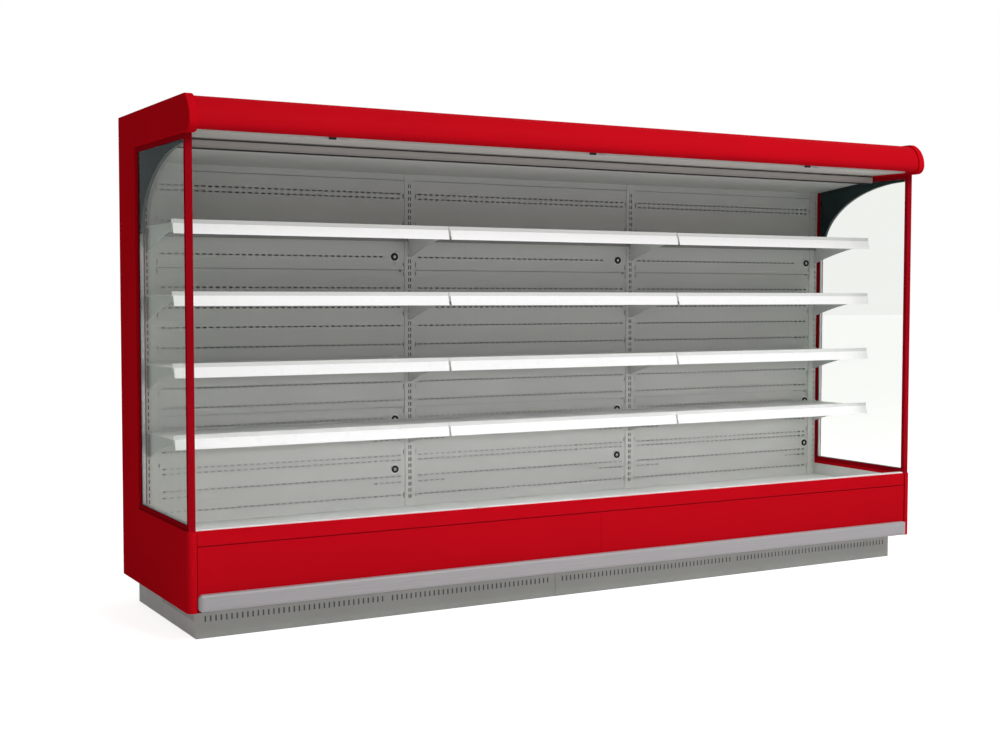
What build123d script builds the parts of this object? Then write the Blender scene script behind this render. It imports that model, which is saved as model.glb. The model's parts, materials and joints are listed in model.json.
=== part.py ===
from build123d import *
import os

os.makedirs("parts", exist_ok=True)

# Open multideck display fridge, three bays long, with glazed end panels.
# Millimetres, +Z up, X along the case, the shopper stands on the -Y side.
# Heights are above the floor. Depths are measured forwards from the rear face.

# ---------------------------------------------------------------- overall sizes
bay_length = 1250
bay_count = 3
case_height = 2145
case_depth = 1041
body_bottom = 124
window_bottom = 446.5
window_rear = 258
seat = 0.3
sheet = 2.0

# end panels, one C-shaped moulding at each end
end_panel_thickness = 36
end_panel_lead = 5
end_panel_edge_round = 25
end_panel_top_round = 6
head_height = 151

# end windows
frame_thickness = 28
frame_setback = 8
frame_face = 21
glazing_groove = 8
pane_thickness = 4
pane_recess = 2.5
spacer_width = 10
infill_thickness = 15
infill_height = 343

# insulated body
tub_wall = 60
tub_front_drop = 16.5
tub_ledge_width = 24
tub_rear_rise = 66
tub_front_rise = 72
tub_drain_rise = 52
drain_depth = 500
rear_wall_thickness = 70
roof_thickness = 49
roof_setback = 54
liner_thickness = 2.0

# front riser
nose_overhang = 75
nose_lead = 75.5
nose_round = 42
riser_sheet = 2.5
trim_height = 61
riser_seam_gap = 1.5
riser_joint_gap = 1.2
trim_return = 10
bumper_rise = 4
bumper_height = 69
bumper_depth = 24
bumper_round = 12
bumper_wall = 3
bumper_cap_length = 38
bumper_cap_round = 20
bumper_end_gap = 3

# kick plates and base
kick_setback = 91
kick_end_setback = 59
kick_rear = 36
kick_top_gap = 3
kick_floor_gap = 1
kick_joint_x = -190
kick_slot_height = 24
kick_slot_width = 7
kick_slot_drop = 46
kick_slot_pitch = 22
kick_group_margin = 38
kick_group_gap = 46
kick_side_slots = 20
frame_rail_width = 50
frame_rail_bottom = 44
frame_wall = 3
frame_cross_width = 40
foot_pad_height = 12
foot_pad_taper = 12
foot_stem_radius = 8
foot_end_inset = 110

# air intake grille and deck
grille_sheet = 2.0
grille_rise = 5.5
grille_setback = 13
grille_flat = 23
grille_slope_run = 42
grille_slope_fall = 22
grille_slot_width = 12
grille_slot_pitch = 25
grille_slot_reach = 8
deck_drop = 78.5
deck_skirt = 23
deck_side_drop = 15
deck_front_gap = 4
deck_rear_gap = 2

# rear duct and uprights
panel_setback = 3
panel_middle_bottom = 841
panel_upper_bottom = 1486
panel_top_gap = 32
panel_joint_gap = 2
panel_side_gap = 0.8
panel_lip = 20
upright_lead = 3
upright_width = 50
upright_depth = 36
upright_sheet = 2.5
slot_width = 5
slot_height = 18
slots_per_shelf_step = 10
slots_below_shelves = 12
ceiling_drop = 58

# shelves
shelf_count = 4
shelf_first_rise = 412
shelf_step = 293
tray_rear_gap = 7
tray_setback = 296
tray_lip = 17
tray_front_drop = 25
tray_side_drop = 7
tray_rear_lip = 5
tray_joint_gap = 3
bracket_inset = 5
end_bracket_inset = 15
bracket_thickness = 3
bracket_setback = 15
bracket_nose = 22
bracket_hollow = 10
hook_height = 12
hook_drop = 8
hook_spacing = 3
rail_height = 42
rail_slant = 12
rail_sheet = 2.4
rail_end_gap = 4

# lamp sockets on the rear panels, one column in each bay
socket_heights = [547, 784, 1060, 1367, 1547]
socket_offset = 78
socket_ring_radius = 18
socket_bore_radius = 9
socket_depth = 10

# canopy
fascia_gap = 8
fascia_sheet = 2.5
fascia_flange = 30
fascia_lip_rise = 15
fascia_lip_lead = 19.5
soffit_rise = 10
soffit_width = 240
soffit_lead = 4
soffit_flange = 10
outlet_drop = 25
outlet_width = 92
cover_drop = 22
cover_height = 29.5
cover_thickness = 4
cover_end_gap = 9
honeycomb_height = 18
honeycomb_vane = 1.2
honeycomb_vanes = 6
honeycomb_ribs = 13
lamp_radius = 13
lamp_end_gap = 45
lamp_holder_length = 18
lamp_lift = 12

# night blinds
roll_setback = 31.5
roll_radius = 24
roll_gap = 1
gudgeon_radius = 4
gudgeon_length = 2.2
gudgeon_clearance = 0.3
blind_plate = 3
bar_depth = 26
bar_height = 14
bar_rise = 22
handle_width = 85
handle_height = 20
handle_rod = 5
handle_thickness = 8
latch_width = 26
latch_height = 15
latch_offset = 47

# cooling parts
fan_plate_depth = 600
fan_margin = 18
fan_tip_gap = 4
fan_hub_radius = 22
fan_hub_length = 24
fan_shaft_radius = 4
fan_blade_count = 5
blade_root_chord = 26
blade_tip_chord = 44
blade_root_pitch = 52
blade_tip_pitch = 28
blade_thickness = 2
motor_radius = 32
motor_length = 52
motor_stand_off = 14
spider_width = 8
spider_arms = 3
coil_rear_gap = 20
coil_depth = 125
coil_rise = 32
coil_height = 360
coil_fin_count = 16
coil_fin_thickness = 3
coil_fin_reach = 6
coil_end_inset = 95
coil_plate = 3
bend_radius = 22
bend_tube_radius = 6
bend_tube_sides = 6
bend_rows = 4
line_radius = 8
line_depth_shares = [0.3, 0.7]
drain_radius = 25
drain_wall = 3
drain_length = 60
drain_flange = 12
box_width = 300
box_depth = 75
box_height = 62
box_end_inset = 475
gland_radius = 9
gland_length = 14

# ---------------------------------------------------------------- derived sizes
inner_length = bay_length * bay_count
half_inner = inner_length / 2
half_length = half_inner + end_panel_thickness
rear_y = case_depth / 2
liner_face = half_inner - liner_thickness
body_half_length = liner_face - seat
kick_half_length = half_length - kick_end_setback
box_centre_x = half_inner - box_end_inset
cut = case_height

# heights that follow the top of the case
window_top = case_height - head_height
nose_height = window_top + nose_round
nose_rise = case_height - nose_height
nose_radius = (nose_lead**2 + nose_rise**2) / (2 * nose_lead)
soffit_height = window_top + soffit_rise
fascia_lip_height = window_top + fascia_lip_rise
outlet_bottom = window_top - outlet_drop
cover_bottom = window_top - cover_drop
ceiling_rear_height = window_top - ceiling_drop
panel_upper_top = ceiling_rear_height - panel_top_gap
roll_height = case_height - head_height / 2
bar_bottom = window_top + bar_rise
roof_top = case_height - fascia_gap - fascia_sheet - seat
roof_bottom = roof_top - roof_thickness

# heights that follow the sill and the underside of the body
riser_seam = window_bottom - trim_height
tub_front_height = window_bottom - tub_front_drop
grille_top = window_bottom + grille_rise
grille_slope_bottom = grille_top - grille_slope_fall
deck_height = window_bottom - deck_drop
tub_ledge_height = deck_height - deck_skirt
tub_rear_floor = body_bottom + tub_rear_rise
tub_front_floor = body_bottom + tub_front_rise
drain_floor = body_bottom + tub_drain_rise
bumper_bottom = body_bottom + bumper_rise
kick_top = body_bottom - kick_top_gap
kick_slot_centre = body_bottom - kick_slot_drop
frame_rail_height = body_bottom - frame_rail_bottom
coil_bottom = deck_height + coil_rise
shelf_lowest = deck_height + shelf_first_rise

# depths that follow the front of the case
nose_reach = case_depth - nose_lead
nose_centre = case_depth - nose_radius
nose_under = case_depth - nose_round
roll_depth = nose_reach - roll_setback
roof_front = roll_depth - roof_setback
fascia_flange_rear = roof_front - fascia_flange
fascia_lip_rear = nose_reach + fascia_lip_lead
soffit_front = roll_depth + soffit_lead
duct_front_depth = soffit_front - soffit_width
outlet_rear = duct_front_depth - outlet_width
riser_front = case_depth - nose_overhang
end_panel_front = riser_front + end_panel_lead
frame_front = riser_front - frame_setback
trim_leg_depth = riser_front - trim_return
tub_front = riser_front - riser_sheet - seat
kick_depth = riser_front - kick_setback
frame_front_rail = kick_depth - sheet - seat
grille_front = riser_front - grille_setback
grille_slope_front = grille_front - grille_flat
grille_rear = grille_slope_front - grille_slope_run
deck_front = grille_rear - deck_front_gap
tray_front = riser_front - tray_setback
bracket_front = tray_front - bracket_setback

# depths that follow the rear duct
panel_face = window_rear - panel_setback
upright_face = panel_face + upright_lead
tray_rear = upright_face + tray_rear_gap

bay_centres = [(index - (bay_count - 1) / 2) * bay_length for index in range(bay_count)]
bay_joints = [(index + 1 - bay_count / 2) * bay_length for index in range(bay_count - 1)]
end_upright_x = body_half_length - upright_width / 2
upright_centres = [-end_upright_x] + bay_joints + [end_upright_x]
bracket_positions = [joint + side * bracket_inset for joint in bay_joints for side in (-1, 1)]
bracket_positions += [side * (half_inner - end_bracket_inset) for side in (-1, 1)]
shelf_heights = [shelf_lowest + index * shelf_step for index in range(shelf_count)]
slot_pitch = shelf_step / slots_per_shelf_step
slot_first = shelf_lowest - (slots_below_shelves + 1 / 2) * slot_pitch
bracket_drop = (hook_spacing + 1 / 2) * slot_pitch + slot_height / 2 + sheet
slot_rows = int((panel_upper_top - slot_first - slot_height) / slot_pitch) + 1
fan_centre_height = (drain_floor + deck_height) / 2
fan_hole_radius = (deck_height - drain_floor) / 2 - fan_margin
fan_tip_radius = fan_hole_radius - fan_tip_gap
lamp_length = bay_length - 2 * lamp_end_gap


def at_depth(depth):
    """Y of a point that lies this far in front of the rear face."""
    return rear_y - depth


def section(points):
    """(depth, height) pairs as points of a plane square to the case's length."""
    return [(at_depth(depth), height) for depth, height in points]


def front_plane(depth):
    """Plane along the case at a depth; its normal looks at the shopper, X and Z are its axes."""
    return Plane.XZ.offset(depth - rear_y)


def tub_floor(depth):
    """Height of the tub's floor, which falls from both sides to the drain."""
    ledge_rear = tub_front - tub_wall - tub_ledge_width
    if depth > drain_depth:
        return drain_floor + (tub_front_floor - drain_floor) * (depth - drain_depth) / (ledge_rear - drain_depth)
    return drain_floor + (tub_rear_floor - drain_floor) * (drain_depth - depth) / (drain_depth - rear_wall_thickness)


def write(part, name):
    part.label = name
    export_step(part, f"parts/{name}.step")


def long_profile(points, half_span):
    """A bar along the case whose closed section runs through (depth, height) points."""
    with BuildPart() as bar:
        with BuildSketch(Plane.YZ):
            with BuildLine():
                Polyline(*section(points), close=True)
            make_face()
        extrude(amount=half_span, both=True)
    return bar.part


def folded_sheet(points, thickness, start, end):
    """A bent sheet from X start to X end; the points are its middle line in the section."""
    with BuildPart() as folded:
        with BuildSketch(Plane.YZ.offset(start)):
            with BuildLine():
                Polyline(*section(points))
            trace(line_width=thickness)
        extrude(amount=end - start)
    return folded.part


def write_pair(right_part, name):
    """The right-hand piece, and its mirror image at the left end."""
    write(right_part, f"{name}_right")
    with BuildPart() as left:
        mirror(right_part, about=Plane.YZ)
    write(left.part, f"{name}_left")


# ---------------------------------------------------------------- base frame and feet
frame_bottom_plane = Plane.XY.offset(frame_rail_bottom)
frame_half_length = kick_half_length - sheet - seat
frame_rear_rail = kick_rear + frame_rail_width
rail_middle_height = frame_rail_bottom + frame_rail_height / 2
cross_end = frame_half_length - foot_end_inset
cross_positions = [-cross_end] + bay_joints + [cross_end]

with BuildPart() as base_frame:
    with BuildSketch(Plane.YZ):
        for rail_front in (frame_front_rail, frame_rear_rail):
            with Locations((at_depth(rail_front - frame_rail_width / 2), rail_middle_height)):
                Rectangle(frame_rail_width, frame_rail_height)
                Rectangle(
                    frame_rail_width - 2 * frame_wall, frame_rail_height - 2 * frame_wall, mode=Mode.SUBTRACT
                )
    extrude(amount=frame_half_length, both=True)
    with BuildSketch(front_plane(frame_rear_rail)):
        for cross_x in cross_positions:
            with Locations((cross_x, rail_middle_height)):
                Rectangle(frame_cross_width, frame_rail_height)
                Rectangle(
                    frame_cross_width - 2 * frame_wall, frame_rail_height - 2 * frame_wall, mode=Mode.SUBTRACT
                )
    extrude(amount=frame_front_rail - frame_rail_width - frame_rear_rail)
write(base_frame.part, "base_frame")

foot_pad_radius = frame_rail_width / 2 - sheet
foot_ys = [
    at_depth(frame_front_rail - frame_rail_width / 2),
    at_depth(frame_rear_rail - frame_rail_width / 2),
]
foot_places = [(x, y) for x in cross_positions for y in foot_ys]

with BuildPart() as levelling_feet:
    with BuildSketch():
        with Locations(*foot_places):
            Circle(foot_pad_radius)
    extrude(amount=foot_pad_height, taper=foot_pad_taper)
    with BuildSketch(Plane.XY.offset(foot_pad_height)):
        with Locations(*foot_places):
            Circle(foot_stem_radius)
    extrude(amount=frame_rail_bottom - foot_pad_height)
write(levelling_feet.part, "levelling_feet")

# ---------------------------------------------------------------- kick plates
kick_height = kick_top - kick_floor_gap
kick_middle = kick_floor_gap + kick_height / 2
kick_spans = [(-kick_half_length, kick_joint_x), (kick_joint_x + sheet, kick_half_length)]

with BuildPart() as kick_plates:
    with BuildSketch(front_plane(kick_depth - sheet)):
        for start, end in kick_spans:
            span = end - start
            group_span = (span - 2 * kick_group_margin - kick_group_gap) / 2
            slot_count = round(group_span / kick_slot_pitch) + 1
            pitch = group_span / (slot_count - 1)
            with Locations(((start + end) / 2, kick_middle)):
                Rectangle(span, kick_height)
            for side in (-1, 1):
                group_x = (start + end) / 2 + side * (kick_group_gap + group_span) / 2
                with Locations((group_x, kick_slot_centre)):
                    with GridLocations(pitch, kick_slot_height, slot_count, 1):
                        Rectangle(kick_slot_width, kick_slot_height, mode=Mode.SUBTRACT)
    extrude(amount=sheet)
    for plate_x in (-kick_half_length, kick_half_length - sheet):
        side_front = kick_depth - sheet - seat
        side_span = side_front - kick_rear
        first_slot = side_front - kick_group_margin
        slot_run = (kick_side_slots - 1) * kick_slot_pitch
        with BuildSketch(Plane.YZ.offset(plate_x)):
            with Locations((at_depth(kick_rear + side_span / 2), kick_middle)):
                Rectangle(side_span, kick_height)
            with Locations((at_depth(first_slot - slot_run / 2), kick_slot_centre)):
                with GridLocations(kick_slot_pitch, kick_slot_height, kick_side_slots, 1):
                    Rectangle(kick_slot_width, kick_slot_height, mode=Mode.SUBTRACT)
        extrude(amount=sheet)
write(kick_plates.part, "kick_plates")

# ---------------------------------------------------------------- insulated body
tub_ledge_front = tub_front - tub_wall
tub_ledge_rear = tub_ledge_front - tub_ledge_width
tub_profile = [
    (0, body_bottom),
    (tub_front, body_bottom),
    (tub_front, tub_front_height),
    (tub_ledge_front, tub_front_height),
    (tub_ledge_front, tub_ledge_height),
    (tub_ledge_rear, tub_ledge_height),
    (tub_ledge_rear, tub_front_floor),
    (drain_depth, drain_floor),
    (rear_wall_thickness, tub_rear_floor),
    (0, tub_rear_floor),
]
line_x = -(half_inner - coil_end_inset / 2)
line_depths = [rear_wall_thickness + coil_rear_gap + coil_depth * share for share in line_depth_shares]

with BuildPart() as insulated_tub:
    add(long_profile(tub_profile, body_half_length))
    with BuildSketch(Plane.XY.offset(body_bottom)):
        with Locations((0, at_depth(drain_depth))):
            Circle(drain_radius + seat)
        for line_depth in line_depths:
            with Locations((line_x, at_depth(line_depth))):
                Circle(line_radius + seat)
    extrude(amount=cut, mode=Mode.SUBTRACT)
write(insulated_tub.part, "insulated_tub")

rear_wall_profile = [
    (0, tub_rear_floor + seat),
    (rear_wall_thickness, tub_rear_floor + seat),
    (rear_wall_thickness, roof_bottom - seat),
    (0, roof_bottom - seat),
]
write(long_profile(rear_wall_profile, body_half_length), "rear_wall")

with BuildPart() as roof_panel:
    with BuildSketch(Plane.YZ):
        with BuildLine():
            Polyline(
                *section([(0, roof_bottom), (roof_front, roof_bottom), (roof_front, roof_top), (0, roof_top)]),
                close=True,
            )
        make_face()
    extrude(amount=body_half_length, both=True)
write(roof_panel.part, "roof_panel")

# ---------------------------------------------------------------- end panels
with BuildPart() as end_panel_right:
    with BuildSketch(Plane.YZ.offset(half_inner)):
        with BuildLine():
            Polyline(
                *section([
                    (nose_reach, case_height),
                    (0, case_height),
                    (0, body_bottom),
                    (end_panel_front, body_bottom),
                    (end_panel_front, window_bottom),
                    (window_rear, window_bottom),
                    (window_rear, window_top),
                    (nose_under, window_top),
                ])
            )
            TangentArc(*section([(case_depth, nose_height), (nose_reach, case_height)]), tangent=(0, 1))
            TangentArc(*section([(case_depth, nose_height), (nose_under, window_top)]), tangent=(0, -1))
        make_face()
    extrude(amount=end_panel_thickness)
    outer_face = end_panel_right.faces().sort_by(Axis.X)[-1]
    front_arm_edge = outer_face.edges().filter_by(Axis.Z).filter_by(
        lambda edge: abs(edge.center().Y - at_depth(end_panel_front)) < seat
    )
    fillet(front_arm_edge, end_panel_edge_round)
    outer_face = end_panel_right.faces().sort_by(Axis.X)[-1]
    nose_edges = outer_face.edges().filter_by(
        lambda edge: edge.center().Z > window_top + seat and edge.center().Y < at_depth(seat)
    )
    fillet(nose_edges, end_panel_top_round)
write_pair(end_panel_right.part, "end_panel")

liner_profile = [
    (0, body_bottom),
    (tub_front, body_bottom),
    (tub_front, tub_front_height),
    (window_rear - seat, tub_front_height),
    (window_rear - seat, roof_bottom),
    (roof_front, roof_bottom),
    (roof_front, roof_top),
    (0, roof_top),
]
with BuildPart() as end_liners:
    for liner_x in (-half_inner, liner_face):
        with BuildSketch(Plane.YZ.offset(liner_x)):
            with BuildLine():
                Polyline(*section(liner_profile), close=True)
            make_face()
        extrude(amount=liner_thickness)
write(end_liners.part, "end_liners")

# ---------------------------------------------------------------- end windows
frame_rear = window_rear + seat
frame_bottom = window_bottom + seat
frame_top = window_top - seat
frame_centre = (at_depth((frame_rear + frame_front) / 2), (frame_bottom + frame_top) / 2)
frame_width = frame_front - frame_rear
frame_height = frame_top - frame_bottom
sight_width = frame_width - 2 * frame_face
sight_height = frame_height - 2 * frame_face
pane_width = sight_width + 2 * (glazing_groove - seat)
pane_height = sight_height + 2 * (glazing_groove - seat)
inner_pane_x = half_inner + pane_recess
outer_pane_x = half_inner + frame_thickness - pane_recess - pane_thickness
spacer_x = inner_pane_x + pane_thickness
spacer_thickness = outer_pane_x - spacer_x

with BuildPart() as window_frame_right:
    with BuildSketch(Plane.YZ.offset(half_inner)):
        with Locations(frame_centre):
            Rectangle(frame_width, frame_height)
            Rectangle(sight_width, sight_height, mode=Mode.SUBTRACT)
    extrude(amount=frame_thickness)
    with BuildSketch(Plane.YZ.offset(inner_pane_x - seat)):
        with Locations(frame_centre):
            Rectangle(sight_width + 2 * glazing_groove, sight_height + 2 * glazing_groove)
    extrude(amount=frame_thickness - 2 * (pane_recess - seat), mode=Mode.SUBTRACT)
write_pair(window_frame_right.part, "window_frame")

with BuildPart() as window_panes_right:
    for pane_x in (inner_pane_x, outer_pane_x):
        with BuildSketch(Plane.YZ.offset(pane_x)):
            with Locations(frame_centre):
                Rectangle(pane_width, pane_height)
        extrude(amount=pane_thickness)
write_pair(window_panes_right.part, "window_panes")

with BuildPart() as spacer_right:
    with BuildSketch(Plane.YZ.offset(spacer_x)):
        with Locations(frame_centre):
            Rectangle(pane_width, pane_height)
            Rectangle(pane_width - 2 * spacer_width, pane_height - 2 * spacer_width, mode=Mode.SUBTRACT)
    extrude(amount=spacer_thickness)
with BuildPart() as pane_spacers:
    add(spacer_right.part)
    mirror(spacer_right.part, about=Plane.YZ)
write(pane_spacers.part, "pane_spacers")

# opaque corner between the panes, with a quarter-ellipse edge
infill_half_width = pane_width / 2 - spacer_width - seat
infill_rear_y = frame_centre[0] + infill_half_width
infill_front_y = frame_centre[0] - infill_half_width
infill_top = frame_centre[1] + pane_height / 2 - spacer_width - seat
infill_foot = 2 * spacer_width
infill_lip = spacer_width

with BuildPart() as infill_right:
    with BuildSketch(Plane.YZ.offset(spacer_x + (spacer_thickness - infill_thickness) / 2)):
        with BuildLine():
            Polyline(
                (infill_rear_y - infill_foot, infill_top - infill_height),
                (infill_rear_y, infill_top - infill_height),
                (infill_rear_y, infill_top),
                (infill_front_y, infill_top),
                (infill_front_y, infill_top - infill_lip),
            )
            EllipticalCenterArc(
                (infill_front_y, infill_top - infill_height),
                infill_rear_y - infill_foot - infill_front_y,
                infill_height - infill_lip,
                start_angle=0,
                arc_size=90,
            )
        make_face()
    extrude(amount=infill_thickness)
with BuildPart() as corner_infills:
    add(infill_right.part)
    mirror(infill_right.part, about=Plane.YZ)
write(corner_infills.part, "corner_infills")

# ---------------------------------------------------------------- front riser
riser_middle = riser_front - riser_sheet / 2
trim_top_middle = window_bottom - riser_sheet / 2
riser_half_length = half_inner - seat

with BuildPart() as riser_trim:
    with BuildSketch(Plane.YZ):
        with BuildLine():
            FilletPolyline(
                *section([
                    (riser_middle, riser_seam + riser_seam_gap / 2),
                    (riser_middle, trim_top_middle),
                    (trim_leg_depth, trim_top_middle),
                    (trim_leg_depth, tub_front_height + seat),
                ]),
                radius=riser_sheet,
            )
        trace(line_width=riser_sheet)
    extrude(amount=riser_half_length, both=True)
write(riser_trim.part, "riser_trim")

riser_height = riser_seam - riser_seam_gap / 2 - body_bottom
with BuildPart() as riser_panels:
    with BuildSketch(front_plane(riser_front - riser_sheet)):
        for side in (-1, 1):
            panel_length = riser_half_length - riser_joint_gap / 2
            panel_x = side * (riser_joint_gap + panel_length) / 2
            with Locations((panel_x, body_bottom + riser_height / 2)):
                Rectangle(panel_length, riser_height)
    extrude(amount=riser_sheet)
write(riser_panels.part, "riser_panels")


def bumper_outline(reach, height, round_radius):
    """Closed bumper section standing on the riser's face, round on its front corners."""
    middle = bumper_bottom + bumper_height / 2
    wall_y = at_depth(riser_front + seat)
    with BuildSketch(Plane.YZ) as outline:
        with Locations((wall_y - reach / 2, middle)):
            Rectangle(reach, height)
        fillet(outline.vertices().group_by(Axis.X)[0], round_radius)
    return outline.sketch_local


bumper_core = bumper_outline(bumper_depth, bumper_height, bumper_round)
bumper_rail_half = half_inner - bumper_end_gap - bumper_cap_length

with BuildPart() as bumper_rail:
    with BuildSketch(Plane.YZ):
        add(bumper_core)
        offset(amount=-bumper_wall, mode=Mode.SUBTRACT)
    extrude(amount=bumper_rail_half, both=True)
write(bumper_rail.part, "bumper_rail")

with BuildPart() as bumper_cap_right:
    with BuildSketch(Plane.YZ.offset(bumper_rail_half)):
        add(bumper_core)
    extrude(amount=bumper_cap_length)
    with BuildSketch(Plane.XY.offset(bumper_bottom)) as cap_plan:
        with Locations((bumper_rail_half + bumper_cap_length / 2, at_depth(riser_front + seat + bumper_depth / 2))):
            Rectangle(bumper_cap_length, bumper_depth)
        fillet(cap_plan.vertices().group_by(Axis.X)[-1].sort_by(Axis.Y)[0], bumper_cap_round)
    extrude(amount=bumper_height, mode=Mode.INTERSECT)
    with BuildSketch(front_plane(riser_front + seat)) as cap_elevation:
        with Locations((bumper_rail_half + bumper_cap_length / 2, bumper_bottom + bumper_height / 2)):
            Rectangle(bumper_cap_length, bumper_height)
        fillet(cap_elevation.vertices().group_by(Axis.X)[-1], bumper_cap_round)
    extrude(amount=bumper_depth, mode=Mode.INTERSECT)
with BuildPart() as bumper_end_caps:
    add(bumper_cap_right.part)
    mirror(bumper_cap_right.part, about=Plane.YZ)
write(bumper_end_caps.part, "bumper_end_caps")

# ---------------------------------------------------------------- air intake grille
grille_profile = [
    (grille_rear, tub_ledge_height + seat),
    (grille_rear, grille_slope_bottom),
    (grille_slope_front, grille_top - grille_sheet / 2),
    (grille_front, grille_top - grille_sheet / 2),
    (grille_front, tub_front_height + seat),
]
grille_half = bay_length / 2 - liner_thickness - seat
slot_start = grille_rear + 2 * grille_sheet
slot_end = grille_slope_front + grille_slot_reach
slots_per_grille = int((2 * grille_half - grille_slot_pitch) / grille_slot_pitch)

with BuildPart() as return_air_grille:
    for centre in bay_centres:
        add(folded_sheet(grille_profile, grille_sheet, centre - grille_half, centre + grille_half))
    with BuildSketch(Plane.XY.offset(grille_slope_bottom)):
        for centre in bay_centres:
            with Locations((centre, at_depth((slot_start + slot_end) / 2))):
                with GridLocations(grille_slot_pitch, grille_flat, slots_per_grille, 1):
                    Rectangle(grille_slot_width, slot_end - slot_start)
    extrude(amount=cut, mode=Mode.SUBTRACT)
write(return_air_grille.part, "return_air_grille")

# ---------------------------------------------------------------- lift-out deck pans
pan_half = bay_length / 2 - liner_thickness - seat
pan_rear = panel_face + deck_rear_gap
pan_skirt_bottom = tub_ledge_height + seat
pan_depth = deck_front - pan_rear
notch_depth = upright_face + deck_rear_gap - pan_rear
notch_width = upright_width + deck_rear_gap + liner_thickness


def deck_pan(centre):
    """Shallow tray turned over: a flat top, notched round the uprights, with a skirt at the front and sides."""
    skirt_length = deck_front - fan_plate_depth - sheet - panel_lip - deck_rear_gap
    with BuildPart() as pan:
        with BuildSketch(Plane.XY.offset(deck_height - sheet)):
            with Locations((centre, at_depth(pan_rear + pan_depth / 2))):
                Rectangle(2 * pan_half, pan_depth)
            for side in (-1, 1):
                with Locations((centre + side * pan_half, at_depth(pan_rear))):
                    Rectangle(2 * notch_width, 2 * notch_depth, mode=Mode.SUBTRACT)
        extrude(amount=sheet)
        with BuildSketch(Plane.XY.offset(pan_skirt_bottom)):
            with Locations((centre, at_depth(deck_front - sheet / 2))):
                Rectangle(2 * pan_half, sheet)
        extrude(amount=deck_height - sheet - pan_skirt_bottom)
        with BuildSketch(Plane.XY.offset(deck_height - deck_side_drop)):
            for side in (-1, 1):
                with Locations((centre + side * (pan_half - sheet / 2), at_depth(deck_front - skirt_length / 2))):
                    Rectangle(sheet, skirt_length)
        extrude(amount=deck_side_drop - sheet)
    return pan.part


for index, centre in enumerate(bay_centres):
    write(deck_pan(centre), f"deck_pan_{index + 1}")

# ---------------------------------------------------------------- uprights
upright_bottom = tub_floor(upright_face - upright_depth) + seat
upright_top = ceiling_rear_height - seat
slot_centre_height = slot_first + (slot_rows - 1) * slot_pitch / 2

with BuildPart() as shelf_uprights:
    with BuildSketch(front_plane(upright_face - upright_sheet)):
        for centre in upright_centres:
            with Locations((centre, (upright_bottom + upright_top) / 2)):
                Rectangle(upright_width, upright_top - upright_bottom)
        for position in bracket_positions:
            with Locations((position, slot_centre_height)):
                with GridLocations(slot_width, slot_pitch, 1, slot_rows):
                    Rectangle(slot_width, slot_height, mode=Mode.SUBTRACT)
    extrude(amount=upright_sheet)
    with BuildSketch(front_plane(upright_face - upright_depth)):
        for centre in upright_centres:
            for side in (-1, 1):
                flange_x = centre + side * (upright_width - upright_sheet) / 2
                with Locations((flange_x, (upright_bottom + upright_top) / 2)):
                    Rectangle(upright_sheet, upright_top - upright_bottom)
    extrude(amount=upright_depth - upright_sheet)
write(shelf_uprights.part, "shelf_uprights")

# ---------------------------------------------------------------- rear panels of the duct
panel_left_edges = [centre + upright_width / 2 + panel_side_gap for centre in upright_centres[:-1]]
panel_right_edges = [centre - upright_width / 2 - panel_side_gap for centre in upright_centres[1:]]
panel_middle = panel_face - sheet / 2
lip_height = deck_height - sheet - seat - sheet / 2
panel_profiles = [
    [(panel_middle + panel_lip, lip_height), (panel_middle, lip_height),
     (panel_middle, panel_middle_bottom - panel_joint_gap)],
    [(panel_middle, panel_middle_bottom), (panel_middle, panel_upper_bottom - panel_joint_gap)],
    [(panel_middle, panel_upper_bottom), (panel_middle, panel_upper_top)],
]

with BuildPart() as back_panels:
    for left_edge, right_edge in zip(panel_left_edges, panel_right_edges):
        for profile in panel_profiles:
            add(folded_sheet(profile, sheet, left_edge, right_edge))
write(back_panels.part, "back_panels")

with BuildPart() as lamp_sockets:
    for centre in bay_centres:
        socket_x = centre + bay_length / 2 - socket_offset
        with BuildSketch(front_plane(panel_face)):
            for height in socket_heights:
                with Locations((socket_x, height)):
                    Circle(socket_ring_radius)
        extrude(amount=sheet)
        with BuildSketch(front_plane(panel_face + sheet)):
            for height in socket_heights:
                with Locations((socket_x, height)):
                    Circle(socket_ring_radius)
                    Circle(socket_bore_radius, mode=Mode.SUBTRACT)
        extrude(amount=socket_depth - sheet)
write(lamp_sockets.part, "lamp_sockets")

# ---------------------------------------------------------------- shelves
tray_half = (bay_length - tray_joint_gap) / 2
tray_lip_middle = tray_front - sheet / 2
rail_back = tray_front + seat
rail_half = tray_half - rail_end_gap


def shelf_tray(centre, height):
    """Steel shelf: rear and front upstands, a drop behind the price rail and folded ends."""
    with BuildPart() as tray:
        with BuildSketch(Plane.YZ.offset(centre - tray_half)):
            with BuildLine():
                Polyline(
                    *section([
                        (tray_rear + sheet / 2, height + tray_rear_lip),
                        (tray_rear + sheet / 2, height - sheet / 2),
                        (tray_lip_middle, height - sheet / 2),
                    ])
                )
            trace(line_width=sheet)
            lip_span = tray_lip + tray_front_drop
            with Locations((at_depth(tray_lip_middle), height + tray_lip - lip_span / 2)):
                Rectangle(sheet, lip_span)
        extrude(amount=2 * tray_half)
        with BuildSketch(Plane.XY.offset(height - tray_side_drop)):
            for side in (-1, 1):
                with Locations((centre + side * (tray_half - sheet / 2), at_depth((tray_rear + tray_front) / 2))):
                    Rectangle(sheet, tray_front - tray_rear)
        extrude(amount=tray_side_drop - sheet)
    return tray.part


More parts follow.
